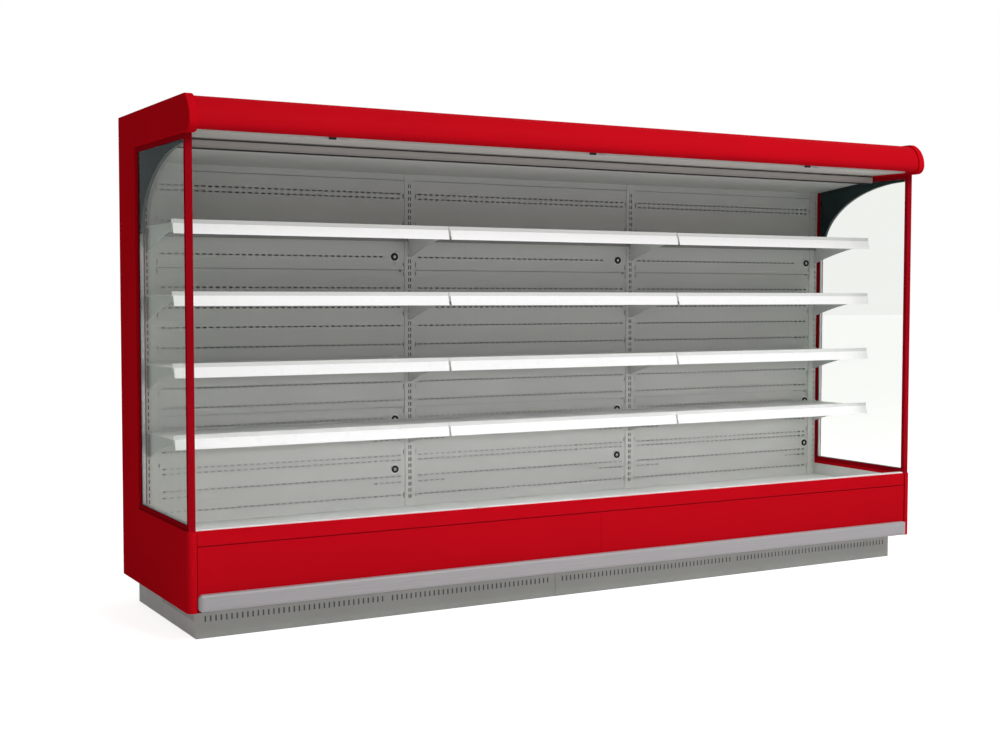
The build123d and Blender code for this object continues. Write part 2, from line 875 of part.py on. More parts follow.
def price_rail(centre, height):
    """Ticket holder: a leg clipped on the tray's front and a face that leans out at the bottom."""
    with BuildPart() as rail:
        with BuildSketch(Plane.YZ.offset(centre - rail_half)):
            with BuildLine():
                Polyline(
                    *section([
                        (rail_back, height - tray_front_drop),
                        (rail_back, height),
                        (rail_back + 2 * rail_sheet, height),
                        (rail_back + 2 * rail_sheet + rail_slant, height - rail_height),
                        (rail_back + rail_sheet + rail_slant, height - rail_height),
                        (rail_back + rail_sheet, height - 2 * rail_sheet),
                        (rail_back + rail_sheet, height - tray_front_drop),
                    ]),
                    close=True,
                )
            make_face()
        extrude(amount=2 * rail_half)
    return rail.part


def shelf_bracket(position, height):
    """Cantilever bracket with a hollow underside and two hooks behind the upright's slots."""
    top = height - sheet
    root = upright_face + seat
    web_rear = upright_face - upright_sheet - seat
    with BuildPart() as bracket:
        with BuildSketch(Plane.YZ.offset(position - bracket_thickness / 2)):
            with BuildLine():
                Polyline(
                    *section([
                        (root, height - bracket_drop),
                        (root, top),
                        (bracket_front - bracket_nose / 2, top),
                        (bracket_front, top - bracket_nose / 2),
                        (bracket_front - bracket_nose / 4, top - bracket_nose),
                    ])
                )
                chord_middle = (height - bracket_drop + top - bracket_nose) / 2
                ThreePointArc(
                    *section([
                        (bracket_front - bracket_nose / 4, top - bracket_nose),
                        ((root + bracket_front) / 2, chord_middle + bracket_hollow),
                        (root, height - bracket_drop),
                    ])
                )
            make_face()
            for step in (0, hook_spacing):
                hook_bottom = height - (step + 1 / 2) * slot_pitch - slot_height / 2 + seat
                with BuildLine():
                    Polyline(
                        *section([
                            (root, hook_bottom),
                            (root, hook_bottom + hook_height),
                            (web_rear - bracket_thickness, hook_bottom + hook_height),
                            (web_rear - bracket_thickness, hook_bottom - hook_drop),
                            (web_rear, hook_bottom - hook_drop),
                            (web_rear, hook_bottom),
                        ]),
                        close=True,
                    )
                make_face()
        extrude(amount=bracket_thickness)
    return bracket.part


for index, height in enumerate(shelf_heights):
    with BuildPart() as shelf_trays:
        for centre in bay_centres:
            add(shelf_tray(centre, height))
    write(shelf_trays.part, f"shelf_trays_{index + 1}")

    with BuildPart() as price_rails:
        for centre in bay_centres:
            add(price_rail(centre, height))
    write(price_rails.part, f"price_rails_{index + 1}")

    with BuildPart() as shelf_brackets:
        for position in bracket_positions:
            add(shelf_bracket(position, height))
    write(shelf_brackets.part, f"shelf_brackets_{index + 1}")

# ---------------------------------------------------------------- canopy
fascia_inset = fascia_gap + fascia_sheet / 2
fascia_top_middle = case_height - fascia_inset
fascia_corner = nose_centre + ((nose_radius - fascia_inset) ** 2 - (nose_rise - fascia_inset) ** 2) ** 0.5
lip_middle = fascia_lip_height - fascia_sheet / 2
lip_reach = nose_under + ((nose_round - fascia_inset) ** 2 - (nose_height - lip_middle) ** 2) ** 0.5
fascia_front = (case_depth - fascia_inset, nose_height)

with BuildPart() as canopy_fascia:
    with BuildSketch(Plane.YZ):
        with BuildLine():
            Line(*section([(fascia_flange_rear, fascia_top_middle), (fascia_corner, fascia_top_middle)]))
            TangentArc(*section([fascia_front, (fascia_corner, fascia_top_middle)]), tangent=(0, 1))
            TangentArc(*section([fascia_front, (lip_reach, lip_middle)]), tangent=(0, -1))
            Line(*section([(lip_reach, lip_middle), (fascia_lip_rear, lip_middle)]))
        trace(line_width=fascia_sheet)
    extrude(amount=riser_half_length, both=True)
write(canopy_fascia.part, "canopy_fascia")

soffit_middle = soffit_height + sheet / 2
duct_front_face = duct_front_depth + sheet / 2
cover_front = duct_front_face + seat + cover_thickness
soffit_profile = [
    (duct_front_face + seat + sheet / 2, soffit_height + soffit_flange),
    (duct_front_face + seat + sheet / 2, soffit_middle),
    (soffit_front - sheet / 2, soffit_middle),
    (soffit_front - sheet / 2, soffit_height + soffit_flange),
]
write(folded_sheet(soffit_profile, sheet, -riser_half_length, riser_half_length), "canopy_soffit")

duct_front_profile = [
    (duct_front_depth, outlet_bottom),
    (duct_front_depth, roof_bottom - seat - sheet / 2),
    (duct_front_depth + soffit_flange, roof_bottom - seat - sheet / 2),
]
write(folded_sheet(duct_front_profile, sheet, -body_half_length, body_half_length), "duct_front")

with BuildPart() as air_outlet_cover:
    with BuildSketch(front_plane(duct_front_face + seat)):
        with Locations((0, cover_bottom + cover_height / 2)):
            Rectangle(2 * (half_inner - cover_end_gap), cover_height)
    extrude(amount=cover_thickness)
    cover_edges = air_outlet_cover.faces().sort_by(Axis.Y)[0].edges().filter_by(Axis.X)
    fillet(cover_edges, cover_thickness / 3)
write(air_outlet_cover.part, "air_outlet_cover")

honeycomb_front = duct_front_depth - sheet / 2 - seat
honeycomb_rear = outlet_rear + sheet / 2 + seat
honeycomb_width = honeycomb_front - honeycomb_rear
vane_pitch = (honeycomb_width - honeycomb_vane) / (honeycomb_vanes - 1)
honeycomb_half = body_half_length - seat
rib_pitch = (2 * honeycomb_half - honeycomb_vane) / (honeycomb_ribs - 1)

with BuildPart() as air_outlet_honeycomb:
    with BuildSketch(Plane.XY.offset(cover_bottom)):
        with Locations((0, at_depth((honeycomb_front + honeycomb_rear) / 2))):
            with GridLocations(rib_pitch, vane_pitch, 1, honeycomb_vanes):
                Rectangle(2 * honeycomb_half, honeycomb_vane)
            with GridLocations(rib_pitch, vane_pitch, honeycomb_ribs, 1):
                Rectangle(honeycomb_vane, honeycomb_width)
    extrude(amount=honeycomb_height)
write(air_outlet_honeycomb.part, "air_outlet_honeycomb")

ceiling_front_height = outlet_bottom + sheet
ceiling_profile = [
    (panel_middle, panel_upper_top + panel_joint_gap),
    (panel_middle, ceiling_rear_height),
    (outlet_rear, ceiling_front_height),
    (outlet_rear, ceiling_front_height + honeycomb_height),
]
with BuildPart() as ceiling_panel:
    add(folded_sheet(ceiling_profile, sheet, -body_half_length, body_half_length))
    with BuildSketch(Plane.XY.offset(panel_upper_top)):
        for centre in upright_centres:
            with Locations((centre, at_depth(upright_face - upright_depth / 2))):
                Rectangle(upright_width + 2 * seat, upright_depth + 2 * seat)
    extrude(amount=cut, mode=Mode.SUBTRACT)
write(ceiling_panel.part, "ceiling_panel")

lamp_height = soffit_height + sheet + lamp_radius + lamp_lift
lamp_depth = soffit_front - soffit_width / 2
holder_width = 2 * lamp_radius
with BuildPart() as canopy_lamps:
    for centre in bay_centres:
        with BuildSketch(Plane.YZ.offset(centre - lamp_length / 2)):
            with Locations((at_depth(lamp_depth), lamp_height)):
                Circle(lamp_radius)
        extrude(amount=lamp_length)
        for side in (-1, 1):
            holder_x = centre + side * (lamp_length + lamp_holder_length) / 2
            holder_height = lamp_height + lamp_radius - soffit_height - sheet
            with BuildSketch(Plane.XY.offset(soffit_height + sheet)):
                with Locations((holder_x, at_depth(lamp_depth))):
                    Rectangle(lamp_holder_length, holder_width)
            extrude(amount=holder_height)
write(canopy_lamps.part, "canopy_lamps")

# ---------------------------------------------------------------- night blinds
bar_front = roll_depth + roll_radius + bar_depth / 2
bar_rear = bar_front - bar_depth
bar_top = bar_bottom + bar_height
plate_foot = bar_bottom - sheet
blind_plate_outline = [
    (roof_front + seat, roll_height - roll_radius),
    (roof_front + seat, roll_height + roll_radius),
    (bar_front, roll_height + roll_radius),
    (bar_front + sheet, roll_height),
    (bar_front + sheet, plate_foot),
    (bar_rear, plate_foot),
    (roll_depth - roll_radius, roll_height - roll_radius),
]
blind_plate_spans = [(-half_inner + seat, -half_inner + seat + blind_plate)]
blind_plate_spans += [(joint - blind_plate / 2, joint + blind_plate / 2) for joint in bay_joints]
blind_plate_spans += [(half_inner - seat - blind_plate, half_inner - seat)]

with BuildPart() as blind_brackets:
    for start, end in blind_plate_spans:
        with BuildSketch(Plane.YZ.offset(start)):
            with BuildLine():
                Polyline(*section(blind_plate_outline), close=True)
            make_face()
            with Locations((at_depth(roll_depth), roll_height)):
                Circle(gudgeon_radius + gudgeon_clearance, mode=Mode.SUBTRACT)
        extrude(amount=end - start)
write(blind_brackets.part, "blind_brackets")


def blind_roll(start, end):
    """Blind cloth wound on its sprung tube, with a gudgeon at each end."""
    reach = gudgeon_length - roll_gap
    with BuildPart() as roll:
        with BuildSketch(Plane.YZ.offset(start + roll_gap)):
            with Locations((at_depth(roll_depth), roll_height)):
                Circle(roll_radius)
        extrude(amount=end - start - 2 * roll_gap)
        with BuildSketch(Plane.YZ.offset(start - reach)):
            with Locations((at_depth(roll_depth), roll_height)):
                Circle(gudgeon_radius)
        extrude(amount=end - start + 2 * reach)
    return roll.part


def blind_bar(start, end):
    """Bottom bar of a blind with a pull loop and a catch under its middle."""
    centre = (start + end) / 2
    with BuildPart() as bar:
        with BuildSketch(Plane.YZ.offset(start + seat)):
            with Locations((at_depth((bar_front + bar_rear) / 2), (bar_bottom + bar_top) / 2)):
                RectangleRounded(bar_depth, bar_height, bar_height / 4)
        extrude(amount=end - start - 2 * seat)
        with BuildSketch(front_plane((bar_front + bar_rear - handle_thickness) / 2)):
            with Locations((centre, bar_bottom)):
                Ellipse(handle_width / 2, handle_height)
                Ellipse(handle_width / 2 - handle_rod, handle_height - handle_rod, mode=Mode.SUBTRACT)
            with Locations((centre, bar_bottom + handle_height)):
                Rectangle(handle_width, 2 * handle_height, mode=Mode.SUBTRACT)
            with Locations((centre - latch_offset, bar_bottom - latch_height / 2)):
                Rectangle(latch_width, latch_height)
        extrude(amount=handle_thickness)
    return bar.part


for index in range(bay_count):
    roll_start = blind_plate_spans[index][1]
    roll_end = blind_plate_spans[index + 1][0]
    write(blind_roll(roll_start, roll_end), f"blind_roll_{index + 1}")
    write(blind_bar(roll_start, roll_end), f"blind_bar_{index + 1}")

# ---------------------------------------------------------------- fans
fan_plate_face = fan_plate_depth + sheet
fan_plate_bottom = tub_floor(fan_plate_depth) + seat + sheet / 2
fan_plate_top = deck_height - sheet - seat

with BuildPart() as fan_plate:
    with BuildSketch(front_plane(fan_plate_depth)):
        with Locations((0, (fan_plate_bottom + fan_plate_top) / 2)):
            Rectangle(2 * (body_half_length - seat), fan_plate_top - fan_plate_bottom)
        for centre in bay_centres:
            with Locations((centre, fan_centre_height)):
                Circle(fan_hole_radius, mode=Mode.SUBTRACT)
    extrude(amount=sheet)
    with BuildSketch(Plane.XY.offset(fan_plate_top - sheet)):
        with Locations((0, at_depth(fan_plate_face + panel_lip / 2))):
            Rectangle(2 * (body_half_length - seat), panel_lip)
    extrude(amount=sheet)
write(fan_plate.part, "fan_plate")

spider_radius = fan_hole_radius + spider_width
hub_start = fan_plate_face - fan_hub_length / 2
hub_end = hub_start + fan_hub_length
motor_face = hub_end + motor_stand_off

with BuildPart() as fan_motors:
    for centre in bay_centres:
        with BuildSketch(front_plane(fan_plate_face + seat)):
            with Locations((centre, fan_centre_height)):
                Circle(spider_radius)
                Circle(fan_hole_radius, mode=Mode.SUBTRACT)
        extrude(amount=sheet)
        with BuildSketch(front_plane(fan_plate_face + seat + sheet)):
            with Locations((centre, fan_centre_height)):
                with PolarLocations(spider_radius - spider_width / 2, spider_arms, start_angle=90):
                    Rectangle(spider_width, spider_width)
        extrude(amount=motor_face - fan_plate_face - seat)
        with BuildSketch(front_plane(motor_face)):
            with Locations((centre, fan_centre_height)):
                with PolarLocations(spider_radius / 2, spider_arms, start_angle=90):
                    Rectangle(spider_radius, spider_width)
                Circle(motor_radius)
        extrude(amount=sheet)
        with BuildSketch(front_plane(motor_face + sheet)):
            with Locations((centre, fan_centre_height)):
                Circle(motor_radius)
        extrude(amount=motor_length - sheet)
        with BuildSketch(front_plane(hub_start)):
            with Locations((centre, fan_centre_height)):
                Circle(fan_shaft_radius)
        extrude(amount=motor_face - hub_start)
write(fan_motors.part, "fan_motors")


def fan_blades(centre):
    """Axial fan: a bored hub with twisted blades that widen and flatten towards the tip."""
    hub_plane = front_plane(hub_start)
    middle = hub_plane.offset(fan_hub_length / 2)
    root_radius = fan_hub_radius - blade_thickness
    with BuildPart() as fan:
        with BuildSketch(hub_plane):
            with Locations((centre, fan_centre_height)):
                Circle(fan_hub_radius)
        extrude(amount=fan_hub_length)
        for turn in range(fan_blade_count):
            spoke = Vector(1, 0).rotate(Axis.Z, turn * 360 / fan_blade_count)
            outward = middle.x_dir * spoke.X + middle.y_dir * spoke.Y
            for radius, chord, pitch in (
                (root_radius, blade_root_chord, blade_root_pitch),
                (fan_tip_radius, blade_tip_chord, blade_tip_pitch),
            ):
                station = middle.from_local_coords((centre, fan_centre_height, 0)) + outward * radius
                with BuildSketch(Plane(origin=station, x_dir=middle.z_dir, z_dir=outward)):
                    Rectangle(chord, blade_thickness, rotation=pitch)
            loft()
        with BuildSketch(hub_plane):
            with Locations((centre, fan_centre_height)):
                Circle(fan_shaft_radius + seat)
        extrude(amount=fan_hub_length, mode=Mode.SUBTRACT)
    return fan.part


for index, centre in enumerate(bay_centres):
    write(fan_blades(centre), f"fan_blades_{index + 1}")

# ---------------------------------------------------------------- evaporator
coil_rear = rear_wall_thickness + coil_rear_gap
coil_half = half_inner - coil_end_inset
coil_middle = coil_bottom + coil_height / 2
fin_pitch = 2 * coil_half / coil_fin_count
bend_step = coil_height / bend_rows
bend_depth = coil_rear + coil_depth / 2
line_bottom = frame_rail_bottom

with BuildPart() as evaporator_coil:
    with BuildSketch(Plane.YZ):
        with Locations((at_depth(bend_depth), coil_middle)):
            Rectangle(coil_depth - 2 * coil_fin_reach, coil_height - 2 * coil_fin_reach)
    extrude(amount=coil_half, both=True)
    with BuildSketch(Plane.XY.offset(coil_bottom)):
        with Locations((0, at_depth(bend_depth))):
            with GridLocations(fin_pitch, coil_depth, coil_fin_count, 1):
                Rectangle(coil_fin_thickness, coil_depth)
    extrude(amount=coil_height)
    with BuildSketch(Plane.XY.offset(coil_bottom)):
        plate_rear = rear_wall_thickness + seat
        for side in (-1, 1):
            with Locations((side * coil_half, at_depth((plate_rear + coil_rear + coil_depth) / 2))):
                Rectangle(coil_plate, coil_rear + coil_depth - plate_rear)
    extrude(amount=coil_height)
    for side in (-1, 1):
        bend_face = Plane.YZ.offset(side * (coil_half + coil_plate / 2))
        for row in range(bend_rows):
            bend_height = coil_bottom + (row + 1 / 2) * bend_step
            with BuildSketch(bend_face):
                with Locations((at_depth(bend_depth), bend_height - bend_radius)):
                    RegularPolygon(bend_tube_radius, bend_tube_sides)
            bend_axis = Axis((side * (coil_half + coil_plate / 2), at_depth(bend_depth), bend_height), (0, 1, 0))
            revolve(axis=bend_axis, revolution_arc=-side * 180)
    for row, line_depth in enumerate(line_depths):
        line_top = coil_bottom + (row + 1 / 2) * bend_step
        with BuildSketch(Plane.XY.offset(line_bottom)):
            with Locations((line_x, at_depth(line_depth))):
                Circle(line_radius)
        extrude(amount=line_top - line_bottom)
        with BuildSketch(Plane.YZ.offset(line_x - line_radius)):
            with Locations((at_depth(line_depth), line_top)):
                Circle(line_radius)
        extrude(amount=-coil_half - line_x + line_radius)
write(evaporator_coil.part, "evaporator_coil")

# ---------------------------------------------------------------- drain and wiring box
with BuildPart() as drain_outlet:
    with BuildSketch(Plane.XY.offset(body_bottom - drain_length)):
        with Locations((0, at_depth(drain_depth))):
            Circle(drain_radius)
            Circle(drain_radius - drain_wall, mode=Mode.SUBTRACT)
    extrude(amount=drain_length + drain_floor - body_bottom)
    with BuildSketch(Plane.XY.offset(body_bottom - seat - drain_wall)):
        with Locations((0, at_depth(drain_depth))):
            Circle(drain_radius + drain_flange)
            Circle(drain_radius - drain_wall, mode=Mode.SUBTRACT)
    extrude(amount=drain_wall)
write(drain_outlet.part, "drain_outlet")

box_front = frame_front_rail - frame_rail_width - seat
box_centre_height = rail_middle_height
with BuildPart() as electrical_box:
    with BuildSketch(front_plane(box_front - box_depth)):
        with Locations((box_centre_x, box_centre_height)):
            RectangleRounded(box_width, box_height, gland_radius / 2)
    extrude(amount=box_depth)
    with BuildSketch(Plane.YZ.offset(box_centre_x - box_width / 2 - gland_length)):
        with Locations((at_depth(box_front - box_depth / 2), box_centre_height)):
            with GridLocations(3 * gland_radius, box_height, 2, 1):
                Circle(gland_radius)
    extrude(amount=gland_length)
write(electrical_box.part, "electrical_box")
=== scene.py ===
import json
import math

import bmesh
import bpy
from mathutils import Matrix, Vector


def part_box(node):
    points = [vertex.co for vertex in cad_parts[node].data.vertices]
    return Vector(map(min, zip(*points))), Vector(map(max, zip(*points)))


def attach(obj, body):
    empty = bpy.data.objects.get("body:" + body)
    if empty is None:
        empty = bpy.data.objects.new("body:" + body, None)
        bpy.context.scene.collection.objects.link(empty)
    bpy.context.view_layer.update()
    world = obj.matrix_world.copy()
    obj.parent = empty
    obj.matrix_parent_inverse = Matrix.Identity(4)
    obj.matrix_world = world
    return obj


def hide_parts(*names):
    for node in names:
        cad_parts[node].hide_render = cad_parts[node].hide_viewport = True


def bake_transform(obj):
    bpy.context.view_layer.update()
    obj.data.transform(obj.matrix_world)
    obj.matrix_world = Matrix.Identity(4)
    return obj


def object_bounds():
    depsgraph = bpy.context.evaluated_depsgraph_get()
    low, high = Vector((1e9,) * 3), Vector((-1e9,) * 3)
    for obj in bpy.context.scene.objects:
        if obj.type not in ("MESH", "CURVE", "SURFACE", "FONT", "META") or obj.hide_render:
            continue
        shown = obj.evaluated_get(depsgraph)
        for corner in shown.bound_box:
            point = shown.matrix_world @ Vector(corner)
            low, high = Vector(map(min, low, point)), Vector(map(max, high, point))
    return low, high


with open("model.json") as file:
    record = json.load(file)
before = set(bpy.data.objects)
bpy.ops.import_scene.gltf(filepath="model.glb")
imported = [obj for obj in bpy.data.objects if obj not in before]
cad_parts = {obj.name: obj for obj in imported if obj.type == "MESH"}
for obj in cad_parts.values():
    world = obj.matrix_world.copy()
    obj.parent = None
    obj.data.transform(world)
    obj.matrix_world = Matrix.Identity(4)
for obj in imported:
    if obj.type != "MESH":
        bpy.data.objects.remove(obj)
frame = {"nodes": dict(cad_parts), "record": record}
cad_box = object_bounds()

# Lengths and heights are in metres. Depths, and what is added to them, are in millimetres, counted forwards
# from the rear face of the case.
MM = 0.001
REAR = cad_box[1][1]
BAY = 1.25
HALF_BAY = BAY / 2
BAYS = (-BAY, 0.0, BAY)
BAY_JOINTS = (-HALF_BAY, HALF_BAY)


def at(depth):
    """Y of a point at this depth."""
    return REAR - depth * MM


def depth_of(y):
    """Depth of a point at this Y."""
    return (REAR - y) / MM


# -------------------- camera, where the photograph was taken from
YAW, PITCH, ROLL = 0.537, 0.051, 0.003          # radians
CAMERA_PLACE = (-3.5842, -6.0403, 1.3893)
SENSOR_WIDE, LENS = 36, 52.785
SHIFT_X, SHIFT_Y = -0.05385, -0.00919
VIEW_END = 200


def camera():
    forward = Vector((math.sin(YAW) * math.cos(PITCH), math.cos(YAW) * math.cos(PITCH), -math.sin(PITCH)))
    level = Vector((math.cos(YAW), -math.sin(YAW), 0))
    upright = level.cross(forward)
    right = level * math.cos(ROLL) + upright * math.sin(ROLL)
    up = upright * math.cos(ROLL) - level * math.sin(ROLL)
    data = bpy.data.cameras.new("camera")
    data.sensor_fit = "HORIZONTAL"
    data.sensor_width = SENSOR_WIDE
    data.lens = LENS
    data.shift_x = SHIFT_X
    data.shift_y = SHIFT_Y
    data.clip_end = VIEW_END
    cam = bpy.data.objects.new("camera", data)
    bpy.context.collection.objects.link(cam)
    turn = Matrix((right, up, -forward)).transposed().to_4x4()
    cam.matrix_world = Matrix.Translation(CAMERA_PLACE) @ turn
    return cam


bpy.context.scene.camera = camera()
bpy.context.scene.view_settings.view_transform = "Standard"


# -------------------- material graphs
NOISE_LOW, NOISE_HIGH = 0.3, 0.7     # the noise stays mostly between these
TINT_LOW, TINT_HIGH = 0.35, 0.65     # where a mottled colour is at its darkest and its lightest


def rgb(red, green, blue):
    """sRGB 0-255 to a linear colour."""
    linear = []
    for part in (red, green, blue):
        part /= 255
        linear.append(part / 12.92 if part <= 0.04045 else ((part + 0.055) / 1.055) ** 2.4)
    return (*linear, 1)


def shade(color, factor):
    return (color[0] * factor, color[1] * factor, color[2] * factor, 1)


def graph(name):
    """A new material with its node tree and its main shader."""
    material = bpy.data.materials.new(name)
    material.use_nodes = True
    tree = material.node_tree
    return material, tree, tree.nodes["Principled BSDF"]


def add(tree, kind, **values):
    """A new node; a value named i_Something is set on the input of that name, any other on the node."""
    node = tree.nodes.new(kind)
    for key, value in values.items():
        if key.startswith("i_"):
            node.inputs[key[2:].replace("_", " ")].default_value = value
        else:
            setattr(node, key, value)
    return node


def worked_out(tree, operation, *terms):
    """The result of a Math node; each term is a socket or a number."""
    node = add(tree, "ShaderNodeMath", operation=operation)
    for socket, term in zip(node.inputs, terms):
        if isinstance(term, (int, float)):
            socket.default_value = term
        else:
            tree.links.new(term, socket)
    return node.outputs["Value"]


def coords(tree, scale=(1, 1, 1)):
    place = add(tree, "ShaderNodeTexCoord")
    mapping = add(tree, "ShaderNodeMapping", i_Scale=scale)
    tree.links.new(place.outputs["Object"], mapping.inputs["Vector"])
    return mapping.outputs["Vector"]


def noise(tree, vector, scale, detail):
    node = add(tree, "ShaderNodeTexNoise", i_Scale=scale, i_Detail=detail)
    tree.links.new(vector, node.inputs["Vector"])
    return node.outputs["Fac"]


def varied(tree, vector, color, spread, scale, detail=3):
    """The colour a little darker in some places and lighter in others; spread is (darker, lighter)."""
    ramp = add(tree, "ShaderNodeValToRGB")
    darker, lighter = ramp.color_ramp.elements
    darker.position, lighter.position = TINT_LOW, TINT_HIGH
    darker.color, lighter.color = shade(color, 1 - spread[0]), shade(color, 1 + spread[1])
    tree.links.new(noise(tree, vector, scale, detail), ramp.inputs["Fac"])
    return ramp.outputs["Color"]


def uneven(tree, vector, scale, low, high):
    """A value that drifts between two ends over the surface."""
    drift = add(tree, "ShaderNodeMapRange", i_To_Min=low, i_To_Max=high)
    drift.inputs["From Min"].default_value = NOISE_LOW
    drift.inputs["From Max"].default_value = NOISE_HIGH
    tree.links.new(noise(tree, vector, scale, detail=2), drift.inputs["Value"])
    return drift.outputs["Result"]


def bumped(tree, shader, height, strength, distance):
    bump = add(tree, "ShaderNodeBump", i_Strength=strength, i_Distance=distance)
    tree.links.new(height, bump.inputs["Height"])
    tree.links.new(bump.outputs["Normal"], shader.inputs["Normal"])


def paint(name, color, rough=0.35, spread=0.04, peel=0.10, gloss=0.25):
    """Powder or stove paint: faint mottling, orange peel, slightly uneven gloss."""
    material, tree, shader = graph(name)
    vector = coords(tree)
    mottled = varied(tree, vector, color, (spread, spread), scale=2.2)
    tree.links.new(mottled, shader.inputs["Base Color"])
    dullness = uneven(tree, vector, scale=14, low=rough - 0.05, high=rough + 0.06)
    tree.links.new(dullness, shader.inputs["Roughness"])
    bumped(tree, shader, noise(tree, vector, scale=420, detail=2), strength=peel, distance=0.0006)
    shader.inputs["Specular IOR Level"].default_value = gloss
    return material


def plastic(name, color, rough=0.45, grain=600, strength=0.15, spread=0.05):
    """Moulded plastic with a fine grain."""
    material, tree, shader = graph(name)
    vector = coords(tree)
    mottled = varied(tree, vector, color, (spread, spread), scale=6)
    tree.links.new(mottled, shader.inputs["Base Color"])
    dullness = uneven(tree, vector, scale=30, low=rough - 0.05, high=rough + 0.07)
    tree.links.new(dullness, shader.inputs["Roughness"])
    bumped(tree, shader, noise(tree, vector, scale=grain, detail=2), strength, distance=0.0005)
    shader.inputs["Specular IOR Level"].default_value = 0.3
    return material


def brushed(name, color, rough=0.3, along=(1, 60, 60), metal=1.0, strength=0.25):
    """Metal with fine lines drawn along one axis."""
    material, tree, shader = graph(name)
    vector = coords(tree, along)
    lined = varied(tree, vector, color, spread=(0.1, 0.08), scale=9, detail=4)
    tree.links.new(lined, shader.inputs["Base Color"])
    dullness = uneven(tree, vector, scale=20, low=rough - 0.07, high=rough + 0.1)
    tree.links.new(dullness, shader.inputs["Roughness"])
    bumped(tree, shader, noise(tree, vector, scale=30, detail=4), strength, distance=0.0004)
    shader.inputs["Metallic"].default_value = metal
    return material


def glass(name):
    """Clear glass that lets the light of the lamps and of pale surfaces through."""
    material, tree, shader = graph(name)
    shader.inputs["Base Color"].default_value = rgb(247, 248, 246)
    shader.inputs["Transmission Weight"].default_value = 1.0
    shader.inputs["IOR"].default_value = 1.04
    dullness = uneven(tree, coords(tree), scale=1.5, low=0.0, high=0.015)
    tree.links.new(dullness, shader.inputs["Roughness"])
    clear = add(tree, "ShaderNodeBsdfTransparent", i_Color=rgb(240, 244, 241))
    path = add(tree, "ShaderNodeLightPath").outputs
    mix = add(tree, "ShaderNodeMixShader")
    passing = worked_out(tree, "MAXIMUM", path["Is Shadow Ray"], path["Is Diffuse Ray"])
    tree.links.new(passing, mix.inputs["Fac"])
    tree.links.new(shader.outputs["BSDF"], mix.inputs[1])
    tree.links.new(clear.outputs["BSDF"], mix.inputs[2])
    tree.links.new(mix.outputs["Shader"], tree.nodes["Material Output"].inputs["Surface"])
    return material


def woven(name):
    """Metallised blind cloth: a fine woven grid on pale grey."""
    material, tree, shader = graph(name)
    vector = coords(tree, scale=(900, 900, 900))
    threads = []
    for direction in ("X", "Z"):
        wave = add(tree, "ShaderNodeTexWave", bands_direction=direction, i_Scale=1.0, i_Distortion=0.2)
        tree.links.new(vector, wave.inputs["Vector"])
        threads.append(wave.outputs["Fac"])
    weave = worked_out(tree, "MULTIPLY", *threads)
    ramp = add(tree, "ShaderNodeValToRGB")
    ramp.color_ramp.elements[0].color = rgb(186, 187, 186)
    ramp.color_ramp.elements[1].color = rgb(222, 222, 220)
    tree.links.new(weave, ramp.inputs["Fac"])
    tree.links.new(ramp.outputs["Color"], shader.inputs["Base Color"])
    bumped(tree, shader, weave, strength=0.3, distance=0.0004)
    shader.inputs["Roughness"].default_value = 0.6
    shader.inputs["Sheen Weight"].default_value = 0.2
    return material


# -------------------- the materials of this case
PAINTS = {
    "canopy_red": dict(color=rgb(191, 12, 26), rough=0.42, spread=0.02, peel=0.08, gloss=0.003),
    "panel_red": dict(color=rgb(200, 12, 26), rough=0.45, spread=0.02, gloss=0.0),
    "riser_red": dict(color=rgb(193, 12, 26), rough=0.45, spread=0.02, gloss=0.003),
    "frame_red": dict(color=rgb(156, 10, 24), rough=0.45, spread=0.02, gloss=0.0),
    # darker red of the strips of painted shade in the seams of the riser
    "seam_shade_red": dict(color=rgb(118, 8, 18), rough=0.6, spread=0.02, peel=0.05, gloss=0.0),
    "kick_grey": dict(color=rgb(182, 183, 179), rough=0.5, spread=0.03, peel=0.12, gloss=0.15),
    "interior_grey": dict(color=rgb(221, 221, 218), rough=0.5, spread=0.02, peel=0.12, gloss=0.15),
    "shelf_grey": dict(color=rgb(222, 223, 221), rough=0.45, spread=0.02, peel=0.12, gloss=0.15),
    "deck_grey": dict(color=rgb(249, 251, 248), rough=0.4, spread=0.02, peel=0.12, gloss=0.2),
    "upright_grey": dict(color=rgb(224, 224, 221), rough=0.45, spread=0.02, peel=0.12, gloss=0.15),
    "grille_white": dict(color=rgb(240, 240, 239), spread=0.01, peel=0.08),
    "liner_white": dict(color=rgb(232, 232, 230), rough=0.4, spread=0.01, peel=0.08),
    "soffit_grey": dict(color=rgb(212, 208, 204), rough=0.45, spread=0.02),
    "insulated_white": dict(color=rgb(205, 205, 202), rough=0.5, spread=0.03),
    "motor_black": dict(color=rgb(38, 38, 40), rough=0.4),
    "blind_bar_white": dict(color=rgb(226, 226, 224), rough=0.4, spread=0.02, peel=0.08),
}
PLASTICS = {
    "rail_white": dict(color=rgb(249, 249, 249), rough=0.3, grain=300, strength=0.02, spread=0.004),
    "bumper_cap": dict(color=rgb(172, 170, 173), rough=0.38, grain=500, strength=0.1, spread=0.02),
    "band_grey": dict(color=rgb(176, 171, 167), rough=0.5, grain=400, strength=0.1, spread=0.02),
    "vane_plastic": dict(color=rgb(150, 150, 148), rough=0.55),
    "dark_plastic": dict(color=rgb(34, 33, 33), rough=0.4),
    "box_grey": dict(color=rgb(160, 163, 165), rough=0.5),
    "lamp_white": dict(color=rgb(246, 246, 243), rough=0.2, grain=300, strength=0.03, spread=0.01),
    "infill_black": dict(color=rgb(66, 80, 84), rough=0.35, grain=300, strength=0.05),
}
